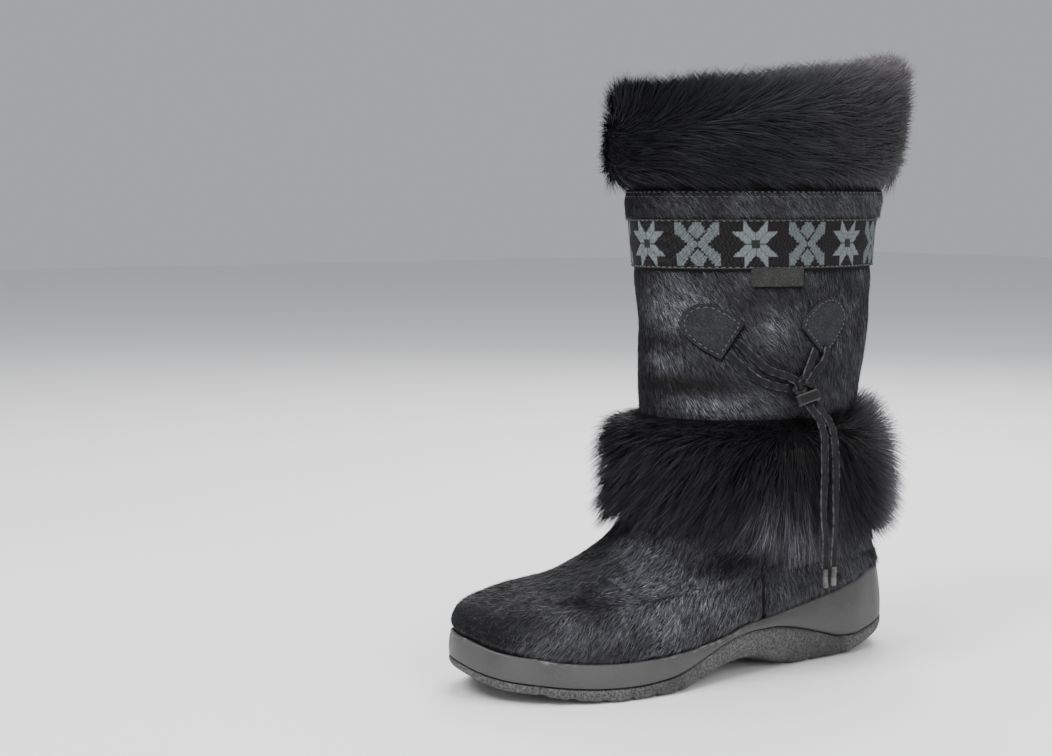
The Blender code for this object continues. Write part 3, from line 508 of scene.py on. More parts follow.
def wall_grid(columns, heights, lift):
    """Level slices of the skin at heights, for each row or point, moved out level by lift."""
    rings = skin_rings(turns(columns))[1:]
    shape = (len(heights), columns)
    heights = spread(heights, shape)
    at = np.zeros((*shape, 2))
    for row in range(len(rings) - 1):
        low = rings[row, :, 2]
        high = rings[row + 1, :, 2]
        part = (heights - low) / (high - low)
        inside = (heights >= low) & (heights <= high)
        point = rings[row, :, :2] + part[:, :, None] * (rings[row + 1, :, :2] - rings[row, :, :2])
        at = np.where(inside[:, :, None], point, at)
    beyond = heights > rings[-1, :, 2]
    at = np.where(beyond[:, :, None], rings[-1, :, :2], at)
    round_ = unit(np.roll(at, -1, axis=1) - np.roll(at, 1, axis=1))
    outward = np.stack([-round_[..., 1], round_[..., 0]], axis=2)
    return np.concatenate([at + outward * spread(lift, shape)[:, :, None], heights[:, :, None]], axis=2)


def wall_points(stations, heights, lift):
    """Points of the leg's outer side at stations and heights in metres, moved out level by lift."""
    rows = np.array(SHAFT)
    front = np.interp(heights, rows[:, 0] * BOOT_HEIGHT, rows[:, 2]) * SOLE_LENGTH
    back = np.interp(heights, rows[:, 1] * BOOT_HEIGHT, rows[:, 3]) * SOLE_LENGTH
    half = np.interp(heights, rows[:, 0] * BOOT_HEIGHT, rows[:, 4]) * BALL_WIDTH
    phi = np.arccos(np.clip(1 - 2 * (stations - back) / (front - back), -1, 1))
    normal = unit(np.stack([np.sin(phi) / half, np.cos(phi) / ((front - back) / 2)], axis=-1))
    x = half * np.sin(phi) + normal[..., 0] * lift
    return np.stack([x, HEEL_BACK - stations + normal[..., 1] * lift, heights + 0 * x], axis=-1)


def cuff_grid(columns, rows):
    """Outer face of the collar: the profile's distance out of the wall and height as shares of its drop."""
    phi = turns(columns)
    share = share_of(phi)
    hem = BAND_HIGH + CUFF_DROP
    over = CUFF_OVER_RIM_BACK + (CUFF_OVER_RIM_FRONT - CUFF_OVER_RIM_BACK) * share
    tall = tilted(*SHAFT[-1][:2], share) + over - hem
    profile = np.array(CUFF_PROFILE)
    at = np.arange(len(profile))
    out = smooth_curve(at, profile[:, 0], rows)[:, None]
    height = smooth_curve(at, profile[:, 1], rows)[:, None]
    behind = np.maximum(np.cos(phi), 0)
    lift = out * (1 + CUFF_TILT_TOP * height * np.cos(phi) + CUFF_TILT_HEM * (1 - height) * behind)
    return wall_grid(columns, hem + height * tall, lift)


def fur_grid(columns, rows):
    """Outer face of the ankle fur: ellipses whose front edge rises at the instep alone."""
    phi = turns(columns)
    rise = share_of(phi) ** FUR_FRONT_POWER
    table = np.array(FUR)
    at = np.arange(len(table))
    read = [smooth_curve(at, table[:, column], rows) for column in range(5)]
    rings = []
    for front_height, back_height, front, back, half in zip(*read):
        height = tilted(front_height, back_height, rise)
        rings.append(level_ring(phi, front, back, half, half, 1.0, height))
    return np.stack(rings)


def collar_roots(columns, count):
    """Face from which the collar's hair grows: its outline, moved in by the hair's own depth at the side."""
    rows = np.linspace(0, len(CUFF_PROFILE) - 1, count)
    side = 1 - smooth_step((rows - 5.0) / 2.5)
    return offset_grid(cuff_grid(columns, rows), -COLLAR_HAIR_DEPTH * side)


def ankle_roots(columns, count):
    """Face from which the ankle hair grows: its outline, moved in by the hair's own depth."""
    rows = np.linspace(0, len(FUR) - 1, count)[:, None]
    waist = np.exp(-((rows - 2.6) / 1.3) ** 2) * share_of(turns(columns))[None, :] ** 2
    return offset_grid(fur_grid(columns, rows[:, 0]), -ANKLE_HAIR_DEPTH * (1 + 0.65 * waist))


def laid_flat(vectors, normals):
    """Unit vectors of what is left of vectors across their normals."""
    return unit(vectors - (vectors * normals).sum(axis=1, keepdims=True) * normals)


def facing_side(direction, normal, loose, rng):
    """Side that each blade shows: its normal, swung a little at random about the blade."""
    return unit(swing(normal, np.cross(direction, normal), rng.normal(0, loose, len(normal))))


def noise(points, scale, seed):
    """Soft noise from -1 to 1: a mean of sines along seeded directions, with waves near scale metres."""
    rng = np.random.default_rng(seed)
    total = np.zeros(len(points))
    for _ in range(7):
        way = unit(rng.normal(size=3)) * TAU / (scale * rng.uniform(0.7, 1.6))
        total += np.sin(points @ way + rng.uniform(0, TAU))
    return np.clip(total / 3.0, -1, 1)


def bells(table, points):
    """Strength of soft patches at points: a bell round each centre, with its own reach and height."""
    total = np.zeros(len(points))
    for centre, reach, strength in table:
        distance = (((points - np.array(centre)) / np.array(reach)) ** 2).sum(axis=1)
        total += strength * np.exp(-distance)
    return total


def make_mesh(name, vertices, faces, made_of, smooth=True):
    """Object at the origin from arrays of vertices and equal-sided faces."""
    vertices = np.ascontiguousarray(vertices, np.float32).reshape(-1, 3)
    faces = np.ascontiguousarray(faces, np.int32)
    sides = faces.shape[1]
    mesh = bpy.data.meshes.new(name)
    mesh.vertices.add(len(vertices))
    mesh.vertices.foreach_set("co", vertices.ravel())
    mesh.loops.add(faces.size)
    mesh.loops.foreach_set("vertex_index", faces.ravel())
    mesh.polygons.add(len(faces))
    mesh.polygons.foreach_set("loop_start", np.arange(0, faces.size, sides, dtype=np.int32))
    mesh.update(calc_edges=True)
    mesh.polygons.foreach_set("use_smooth", np.full(len(faces), smooth))
    mesh.materials.append(made_of)
    item = bpy.data.objects.new(name, mesh)
    bpy.context.scene.collection.objects.link(item)
    return item


def paint(item, name, colours):
    """Colour attribute on the vertices: rows of red, green and blue, rows of grey, or one grey for all."""
    values = np.ones((len(item.data.vertices), 4), np.float32)
    values[:, :3] = colours
    attribute = item.data.color_attributes.new(name, "FLOAT_COLOR", "POINT")
    attribute.data.foreach_set("color", values.ravel())


def vertices_of(item):
    """Places of an object's vertices."""
    places = np.zeros(len(item.data.vertices) * 3)
    item.data.vertices.foreach_get("co", places)
    return places.reshape(-1, 3)


def lay_uv(item, u, v):
    """UV map from a value pair for each vertex."""
    loops = np.zeros(len(item.data.loops), np.int32)
    item.data.loops.foreach_get("vertex_index", loops)
    pairs = np.stack([u, v], axis=1)[loops].astype(np.float32)
    item.data.uv_layers.new(name="UVMap").data.foreach_set("uv", pairs.ravel())


def finish_piece(item, replaced=()):
    """Tie a finished piece to the boot's one body."""
    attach(item, "root")
    if replaced:
        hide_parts(*replaced)
    return item


def ring_faces(rows, columns, wrap=False):
    """Quads of a grid closed round its columns, and over its rows too where wrap is set."""
    line = np.arange(rows if wrap else rows - 1)[:, None]
    column = np.arange(columns)[None, :]
    ahead = (column + 1) % columns
    above = (line + 1) % rows
    quads = np.stack([line * columns + column, line * columns + ahead,
                      above * columns + ahead, above * columns + column], axis=-1)
    return quads.reshape(-1, 4)


def shell(name, grid, made_of, wrap=True):
    """Closed skin through a grid of rings, with a UV map of turn and row."""
    rows, columns = grid.shape[:2]
    item = make_mesh(name, grid, ring_faces(rows, columns, wrap)[:, ::-1], made_of)
    u = np.tile(np.arange(columns) / columns, rows)
    v = np.repeat(np.arange(rows) / max(rows - 1, 1), columns)
    lay_uv(item, u, v)
    return item


def closed_loft(name, grid, made_of):
    """Skin through rings whose first and last ring are each closed by a fan to their middle."""
    columns = grid.shape[1]
    first, last = (np.repeat(ring.mean(axis=0)[None, None], columns, axis=1) for ring in (grid[0], grid[-1]))
    item = shell(name, np.concatenate([first, grid, last]), made_of, wrap=False)
    weld(item)
    return item


def weld(item):
    """Join vertices that share a place."""
    shape = bmesh.new()
    shape.from_mesh(item.data)
    bmesh.ops.remove_doubles(shape, verts=shape.verts, dist=1e-6)
    bmesh.ops.dissolve_degenerate(shape, edges=shape.edges, dist=1e-7)
    bmesh.ops.recalc_face_normals(shape, faces=shape.faces)
    shape.to_mesh(item.data)
    shape.free()


def strand_mesh(name, root, direction, normal, length, width, bend, levels, colour_root, colour_tip, made_of):
    """Hair as tapering blades. A point at share t of a hair is
    root + length (direction t + bend t squared), and its width falls as 1 - t to the power 1.5.
    """
    count = len(root)
    t = np.linspace(0, 1, levels + 1)
    line = (root[:, None] + length[:, None, None]
            * (direction[:, None] * t[None, :, None] + bend[:, None] * (t ** 2)[None, :, None]))
    side = unit(np.cross(direction, normal))
    half = width[:, None] / 2 * (1 - t ** 1.5)[None, :]
    left = line - side[:, None] * half[:, :, None]
    right = line + side[:, None] * half[:, :, None]
    pairs = np.stack([left[:, :-1], right[:, :-1]], axis=2).reshape(count, -1, 3)
    vertices = np.concatenate([pairs, line[:, -1:]], axis=1)
    each = 2 * levels + 1
    pattern = []
    for level in range(levels - 1):
        a = 2 * level
        pattern += [(a, a + 1, a + 3), (a, a + 3, a + 2)]
    pattern.append((2 * levels - 2, 2 * levels - 1, 2 * levels))
    faces = (np.array(pattern)[None] + (np.arange(count) * each)[:, None, None]).reshape(-1, 3)
    item = make_mesh(name, vertices, faces, made_of)
    share = np.concatenate([np.repeat(t[:-1], 2), t[-1:]])
    colour = colour_root[:, None] * (1 - share)[None, :, None] + colour_tip[:, None] * share[None, :, None]
    paint(item, "hair_colour", colour.reshape(-1, 3))
    return item


def node_material(name):
    """Empty material with a Principled shader: returns material, tree and shader."""
    made = bpy.data.materials.new(name)
    made.use_nodes = True
    return made, made.node_tree, made.node_tree.nodes["Principled BSDF"]


def gloss(shader, roughness, specular=0.5):
    """Constants for how rough the surface is and how strongly it mirrors."""
    shader.inputs["Roughness"].default_value = roughness
    shader.inputs["Specular IOR Level"].default_value = specular


def scaled(colour, share, more=0.0):
    """A colour times a share, plus a little more."""
    return tuple(share * value + more for value in colour)


def link(tree, source, target):
    """Join two sockets."""
    tree.links.new(source, target)


def node(tree, kind, **values):
    """New node with some of its properties set."""
    made = tree.nodes.new(kind)
    for key, value in values.items():
        setattr(made, key, value)
    return made


def mix_colour(tree, factor, first, second):
    """Mix of two colours, each a socket or a tuple, by a factor socket."""
    made = node(tree, "ShaderNodeMix", data_type="RGBA")
    link(tree, factor, made.inputs["Factor"])
    for label, value in (("A", first), ("B", second)):
        socket = next(item for item in made.inputs if item.name == label and item.type == "RGBA")
        if isinstance(value, tuple):
            socket.default_value = (*value, 1.0)
        else:
            link(tree, value, socket)
    return next(item for item in made.outputs if item.type == "RGBA")


def ramp(tree, factor, low, high):
    """Factor stretched so that low becomes 0 and high becomes 1."""
    made = node(tree, "ShaderNodeMapRange", clamp=True)
    made.inputs["From Min"].default_value = low
    made.inputs["From Max"].default_value = high
    link(tree, factor, made.inputs["Value"])
    return made.outputs["Result"]


def bump(tree, shader, height, strength, distance):
    """Height turned into a normal for the shader."""
    made = node(tree, "ShaderNodeBump")
    made.inputs["Strength"].default_value = strength
    made.inputs["Distance"].default_value = distance
    link(tree, height, made.inputs["Height"])
    link(tree, made.outputs["Normal"], shader.inputs["Normal"])


def grain_group():
    """Node group for grain: two noises on Object coordinates, out as a fine and a broad mask."""
    found = bpy.data.node_groups.get("boot grain")
    if found:
        return found
    group = bpy.data.node_groups.new("boot grain", "ShaderNodeTree")
    for label, scale in (("Fine", 900.0), ("Broad", 60.0)):
        socket = group.interface.new_socket(label + " Scale", in_out="INPUT", socket_type="NodeSocketFloat")
        socket.default_value = scale
        group.interface.new_socket(label, in_out="OUTPUT", socket_type="NodeSocketFloat")
    inlet = node(group, "NodeGroupInput")
    outlet = node(group, "NodeGroupOutput")
    place = node(group, "ShaderNodeTexCoord")
    for label, detail in (("Fine", 3.0), ("Broad", 4.0)):
        field = node(group, "ShaderNodeTexNoise")
        field.inputs["Detail"].default_value = detail
        link(group, place.outputs["Object"], field.inputs["Vector"])
        link(group, inlet.outputs[label + " Scale"], field.inputs["Scale"])
        link(group, ramp(group, field.outputs["Fac"], 0.32, 0.68), outlet.inputs[label])
    return group


def grain(tree, fine_scale, broad_scale):
    """The grain group placed in a material: returns its fine and broad masks."""
    made = node(tree, "ShaderNodeGroup", node_tree=grain_group())
    made.inputs["Fine Scale"].default_value = fine_scale
    made.inputs["Broad Scale"].default_value = broad_scale
    return made.outputs["Fine"], made.outputs["Broad"]


def hair_material(name, roughness, specular):
    """Hair: the blade's painted colour, which on the short hair holds painted sheen and shade, under a soft
    gloss.
    """
    made, tree, shader = node_material(name)
    colour = node(tree, "ShaderNodeVertexColor", layer_name="hair_colour")
    link(tree, colour.outputs["Color"], shader.inputs["Base Color"])
    gloss(shader, roughness, specular)
    return made


def fibre_material(name, scales, low, high, shine, relief):
    """Short fibres: a colour between low and high by the fine grain, with a relief of their own."""
    made, tree, shader = node_material(name)
    fine, _ = grain(tree, *scales)
    link(tree, mix_colour(tree, fine, low, high), shader.inputs["Base Color"])
    gloss(shader, *shine)
    bump(tree, shader, fine, *relief)
    return made


def hide_material(name, colour):
    """Skin under the hair: near black with short streaks."""
    return fibre_material(name, (1400.0, 70.0), scaled(colour, 0.5), colour, (0.9, 0.12), (0.6, 0.0006))


def midsole_material(settings):
    """Smooth dusty rubber: broad cloudy dust, faint scuffs, and pale flecks along the feather edge."""
    made, tree, shader = node_material("midsole rubber")
    fine, broad = grain(tree, 1500.0, 34.0)
    base = tuple(settings.midsole_colour)
    cloudy = mix_colour(tree, broad, base, scaled(base, 1.35, 0.003))
    speckled = mix_colour(tree, ramp(tree, fine, 0.75, 1.0), cloudy, scaled(base, 1.7))
    flecks = node(tree, "ShaderNodeVertexColor", layer_name="flecks")
    link(tree, mix_colour(tree, flecks.outputs["Color"], speckled, (0.20, 0.19, 0.17)),
         shader.inputs["Base Color"])
    link(tree, ramp(tree, broad, -0.8, 1.8), shader.inputs["Roughness"])
    shader.inputs["Specular IOR Level"].default_value = 0.35
    bump(tree, shader, fine, 0.12, 0.0002)
    return made


def outsole_material(settings):
    """Pebbled tread rubber: small rounded cells with brown-grey dust in the hollows."""
    made, tree, shader = node_material("tread rubber")
    fine, broad = grain(tree, 700.0, 45.0)
    place = node(tree, "ShaderNodeTexCoord")
    cells = node(tree, "ShaderNodeTexVoronoi")
    cells.inputs["Scale"].default_value = 860.0
    link(tree, place.outputs["Object"], cells.inputs["Vector"])
    base = tuple(settings.tread_colour)
    dark = scaled(base, 0.6)
    hollow = ramp(tree, cells.outputs["Distance"], 0.1, 0.75)
    pebble = mix_colour(tree, hollow, dark, scaled(base, 2.6, 0.030))
    worn = mix_colour(tree, ramp(tree, fine, 0.60, 1.0), pebble, (0.130, 0.118, 0.110))
    link(tree, mix_colour(tree, ramp(tree, broad, 0.3, 1.6), worn, dark), shader.inputs["Base Color"])
    gloss(shader, 0.86)
    bump(tree, shader, cells.outputs["Distance"], 0.55, 0.0007)
    return made


def suede_material(name, colour, fine_scale=1100.0):
    """Suede: mottled nap with a soft, dull gloss."""
    made, tree, shader = node_material(name)
    fine, broad = grain(tree, fine_scale, 160.0)
    nap = mix_colour(tree, fine, scaled(colour, 0.40), scaled(colour, 1.5))
    worn = mix_colour(tree, ramp(tree, broad, 0.2, 1.4), nap, scaled(colour, 0.55))
    link(tree, worn, shader.inputs["Base Color"])
    gloss(shader, 0.92, 0.2)
    bump(tree, shader, fine, 0.9, 0.0006)
    return made


def painted_material(name, layer, roughness, fine_scale, strength):
    """A material whose colour is painted on the mesh, with fine fibre relief."""
    made, tree, shader = node_material(name)
    fine, _ = grain(tree, fine_scale, 90.0)
    colour = node(tree, "ShaderNodeVertexColor", layer_name=layer)
    shade = node(tree, "ShaderNodeMix", data_type="RGBA", blend_type="MULTIPLY")
    shade.inputs["Factor"].default_value = 1.0
    sockets = [item for item in shade.inputs if item.type == "RGBA"]
    link(tree, colour.outputs["Color"], sockets[0])
    link(tree, mix_colour(tree, fine, (0.6, 0.6, 0.6), (1.25, 1.25, 1.25)), sockets[1])
    link(tree, next(item for item in shade.outputs if item.type == "RGBA"), shader.inputs["Base Color"])
    gloss(shader, roughness, 0.22)
    bump(tree, shader, fine, strength, 0.0004)
    return made


def pile_material():
    """Pile lining: curled fibres, almost black."""
    return fibre_material("pile lining", (480.0, 80.0), (0.012, 0.011, 0.013), (0.055, 0.052, 0.055),
                          (1.0, 0.5), (0.9, 0.0012))


def metal_material():
    """Tip metal: worn grey, mottled by a broad grain."""
    made, tree, shader = node_material("tip metal")
    fine, broad = grain(tree, 900.0, 220.0)
    worn = mix_colour(tree, broad, (0.035, 0.035, 0.034), (0.11, 0.11, 0.105))
    link(tree, worn, shader.inputs["Base Color"])
    shader.inputs["Metallic"].default_value = 0.55
    gloss(shader, 0.42)
    bump(tree, shader, fine, 0.15, 0.0003)
    return made


def count_setting(name, description, default):
    """Setting for a number of hairs."""
    return bpy.props.IntProperty(name=name, description=description, default=default, min=1000)


def length_setting(name, description, default):
    """Setting for a length."""
    return bpy.props.FloatProperty(name=name, description=description, default=default, unit="LENGTH")


def colour_setting(name, description, default):
    """Setting for a colour."""
    return bpy.props.FloatVectorProperty(
        name=name, description=description, default=default, subtype="COLOR", size=3)


class BootSettings(bpy.types.PropertyGroup):
    """Sizes and colours that a user would change."""
    calf_hairs: count_setting(
        "Calf hairs", "Most hairs on the foot; the leg has three quarters as many", 178000)
    calf_length: length_setting("Calf hair length", "Length of the short hair", 0.0052)
    collar_hairs: count_setting("Collar hairs", "Hairs of the turned-down collar", 40000)
    collar_length: length_setting("Collar hair length", "Length of the collar's hair", 0.020)
    ankle_hairs: count_setting("Ankle hairs", "Hairs of the ankle fur", 37000)
    ankle_length: length_setting("Ankle hair length", "Length of the ankle fur's hair", 0.026)
    strip_width: length_setting("Tie width", "Width of the flat leather ties", 0.0040)
    strip_thickness: length_setting("Tie thickness", "Thickness of the leather ties", 0.0014)
    midsole_colour: colour_setting("Midsole", "Colour of the smooth wedge", (0.0480, 0.0468, 0.0462))
    tread_colour: colour_setting("Tread", "Colour of the tread layer", (0.026, 0.025, 0.0245))
    motif_colour: colour_setting("Motif", "Thread of the stars and crosses", (0.150, 0.172, 0.182))
    ground_colour: colour_setting("Braid ground", "Thread of the braid's ground", (0.0085, 0.0072, 0.0070))
    floor_colour: colour_setting("Floor", "Colour of the pale floor", (0.88, 0.88, 0.88))


def settings_of(context):
    """The boot's settings."""
    return context.scene.boot_settings


def lace_points(route, spacing):
    """Smooth curve through a route's points, read at even steps along it."""
    points = np.asarray(route, float)
    run = run_along(points)
    at = np.linspace(0, run[-1], max(8, int(run[-1] / spacing)))
    return np.stack([smooth_curve(run, points[:, axis], at) for axis in range(3)], axis=1)


def ribbon_axes(path, twist):
    """Across and outward directions of a twisted strip, whose flat side faces away from the leg's axis."""
    along = unit(np.gradient(path, axis=0))
    outward = laid_flat(away_from_leg(path), along)
    across = np.cross(along, outward)
    return swing(across, outward, twist), swing(outward, -across, twist)


def slab_section(sides, power):
    """Rounded section of a slab with flat faces: cos and sin round it, both raised to a power below 1."""
    angle = turns(sides)
    return [np.sign(wave) * np.abs(wave) ** power for wave in (np.cos(angle), np.sin(angle))]


def make_ribbon(name, path, width, thickness, twist, made_of):
    """Flat strip of leather: a rounded slab carried along a path. Its width ripples and its edges curl."""
    across, outward = ribbon_axes(path, twist)
    wide, deep = slab_section(16, 0.45)
    step = np.arange(len(path))
    half = width / 2 * (1 + 0.07 * np.sin(step * 1.3) + 0.05 * np.sin(step * 3.1))
    curl = 0.12 * thickness * wide[None, :] ** 2
    grid = (path[:, None] + across[:, None] * (half[:, None] * wide[None, :])[:, :, None]
            + outward[:, None] * (thickness / 2 * deep[None, :] + curl)[:, :, None])
    return closed_loft(name, grid, made_of)


def paint_strip(item, path, across, width):
    """Painted highlight of a strip: pale where a point lies near the strip's two cut edges, where light
    catches them.
    """
    vertices = vertices_of(item)
    nearest = ((vertices[:, None] - path[None]) ** 2).sum(axis=2).argmin(axis=1)
    side = np.abs(((vertices - path[nearest]) * across[nearest]).sum(axis=1)) / (width / 2)
    # painted highlight along the two cut edges
    edge = smooth_step((side - 0.86) / 0.12)[:, None]
    mottle = 0.5 + 0.5 * noise(vertices, 0.0018, 5)[:, None]
    face = np.array([0.0045, 0.0045, 0.0050]) + mottle * np.array([0.0090, 0.0090, 0.0095])
    cut = np.array([0.050, 0.051, 0.052]) + mottle * 0.06
    paint(item, "strip_colour", face * (1 - edge) + cut * edge)


class BOOT_OT_camera(bpy.types.Operator):
    """Camera at the photograph's place, looking a little down on the boot's outer front side"""
    bl_idname = "boot.camera"
    bl_label = "Camera"

    def execute(self, context):
        azimuth = math.radians(55.4)
        pitch = math.radians(5.32)
        distance, sideways = 1.0245, -0.0863
        aim = Vector((0.0, -0.0740, 0.2516))
        back = Vector((math.sin(azimuth), -math.cos(azimuth), 0.0))
        right = Vector((math.cos(azimuth), math.sin(azimuth), 0.0))
        data = bpy.data.cameras.new("photo_camera")
        data.sensor_width = 36.0
        data.lens = 65.38
        data.clip_start = 0.05
        camera = bpy.data.objects.new("photo_camera", data)
        context.scene.collection.objects.link(camera)
        look = -back * math.cos(pitch) - Vector((0, 0, 1)) * math.sin(pitch)
        camera.location = back * distance + right * sideways + aim
        camera.rotation_euler = look.to_track_quat("-Z", "Y").to_euler()
        context.scene.camera = camera
        return {"FINISHED"}


class BOOT_OT_ties(bpy.types.Operator):
    """Flat leather ties with their knot, slide and metal tips"""
    bl_idname = "boot.ties"
    bl_label = "Ties"

    def execute(self, context):
        settings = settings_of(context)
        leather = painted_material("tie leather", "strip_colour", 0.82, 1600.0, 0.5)
        metal = metal_material()
        knot = self.make_knot(leather)
        slide = self.make_slide(leather)
        tips = [self.make_tip(name, route, metal)
                for name, route in (("lace_tip_front", LACE_FRONT), ("lace_tip_rear", LACE_REAR))]
        strap, _ = self.make_strip("tie_strap", LACE_STRAP, settings, leather)
        finish_piece(strap, ())
        plans = (
            ("tie_front", LACE_FRONT, "lace_front", "bare", [knot, slide, tips[0]]),
            ("tie_loop", LACE_LOOP, "lace_loop", "knot", []),
            ("tie_rear", LACE_REAR, "lace_rear", "bare", [tips[1], strap]),
        )
        for name, route, replaced, far_end, pieces in plans:
            item, path = self.make_strip(name, route, settings, leather)
            finish_piece(item, (replaced,))
        return {"FINISHED"}

    def make_strip(self, name, route, settings, leather):
        """Flat strip along a route, which turns a little on the way and has a painted highlight along its cut
        edges.
        """
        path = lace_points(route, 0.0012)
        part = np.linspace(0, 1, len(path))
        twist = 0.30 * np.sin(part * 9.0) * smooth_step(part * 4 - 0.6) * smooth_step((1 - part) * 6)
        item = make_ribbon(name, path, settings.strip_width, settings.strip_thickness, twist, leather)
        paint_strip(item, path, ribbon_axes(path, twist)[0], settings.strip_width)
        return item, path

    def make_knot(self, leather):
        """Overhand knot as a thick round strip along a trefoil:
        x = sin t + 2 sin 2t, y = cos t - 2 cos 2t, z = -sin 3t, each times its size.
        """
        t = np.linspace(0, TAU, 90)
        size = np.array([0.00175, 0.00150, 0.00150])
        proud = 0.0006
        radius = 0.00135
        along = unit(np.array([0.10, 0.12, -1.0]))
        outward = unit(np.array([1.0, -0.25, 0.0]) - along * along[0])
        across = np.cross(along, outward)
        x = (np.sin(t) + 2 * np.sin(2 * t)) * size[0]
        y = (np.cos(t) - 2 * np.cos(2 * t)) * size[1]
        z = -np.sin(3 * t) * size[2]
        centre = np.array(KNOT_CENTRE)
        path = centre + x[:, None] * across + y[:, None] * along + (z[:, None] + proud) * outward
        flow = unit(np.gradient(path, axis=0))
        side = unit(np.cross(flow, outward[None]))
        lift = np.cross(side, flow)
        angle = turns(10)
        ridge = 1 + 0.10 * np.sin(5 * t)[:, None]
        grid = path[:, None] + radius * (ridge * np.cos(angle)[None])[:, :, None] * side[:, None] \
            + 0.75 * radius * np.sin(angle)[None, :, None] * lift[:, None]
        item = shell("tie_knot", grid[:-1], leather)
        weld(item)
        pale = smooth_step((noise(vertices_of(item), 0.0022, 8) + 0.1) * 1.2)[:, None]
        paint(item, "strip_colour", np.array([0.007, 0.007, 0.008]) * (1 - pale) + 0.030 * pale)
        return finish_piece(item, ("lace_knot",))

    def make_slide(self, leather):
        """Flat keeper that wraps both strips: a rounded slab tube, with a painted highlight at its two rims
        and along its side corners.
        """
        along = unit(np.array([0.35, 0.18, -0.9]))
        outward = np.array([1.0, -0.35, 0.0])
        outward = unit(outward - along * (outward @ along))
        across = np.cross(along, outward)
        centre = np.array(SLIDE_CENTRE)
        wide, deep = slab_section(48, 0.35)
        rows = ((-0.0029, 0.0), (-0.0029, 0.0008), (-0.0026, 0.0011), (-0.0018, 0.0009), (0.0, 0.0009),
                (0.0018, 0.0009), (0.0026, 0.0011), (0.0029, 0.0008), (0.0029, 0.0))
        rings = []
        shades = []
        for shift, extra in rows:
            rings.append(centre + along * shift + (0.0046 + extra) * wide[:, None] * across
                         + (0.0024 + extra) * deep[:, None] * outward)
            # painted highlight: the rings at the two rims are pale
            shades.append(0.060 if abs(shift) > 0.0022 else 0.010)
        item = shell("tie_slide", np.stack(rings), leather)
        shade = np.repeat(np.array(shades), len(wide))
        # painted highlight along the slab's side corners
        corner = 0.04 * (np.abs(wide) > 0.93) * (np.abs(deep) < 0.99)
        paint(item, "strip_colour", (shade + np.tile(corner, len(rows)))[:, None])
        return finish_piece(item, ("lace_slide",))

    def make_tip(self, name, route, metal):
        """Crimped metal end: a turned profile with three shallow rings and a rounded foot."""
        end = np.array(route[-1])
        along = unit(end - np.array(route[-2]))
        across = unit(np.cross(along, np.array([1.0, 0.0, 0.0])))
        away = np.cross(across, along)
        length, radius = 0.0105, 0.00175
        crimps = ((0.12, 0.10), (0.30, 0.14), (0.48, 0.14))
        t = np.linspace(0, 1, 34)
        crimp = sum(deep * np.exp(-((t - at) / 0.03) ** 2) for at, deep in crimps)
        foot = np.sqrt(np.clip(1 - np.clip((t - 0.90) / 0.10, 0, 1) ** 2, 0.05, 1))
        size = radius * (1 - crimp) * foot * (0.92 + 0.10 * smooth_step(t * 6))
        angle = turns(20)
        grid = (end + along * CLEARANCE)[None, None] + (along * length * t[:, None])[:, None] \
            + size[:, None, None] * (np.cos(angle)[:, None] * across + np.sin(angle)[:, None] * away)[None]
        return finish_piece(closed_loft("tip_" + name.split("_")[-1], grid, metal), (name,))


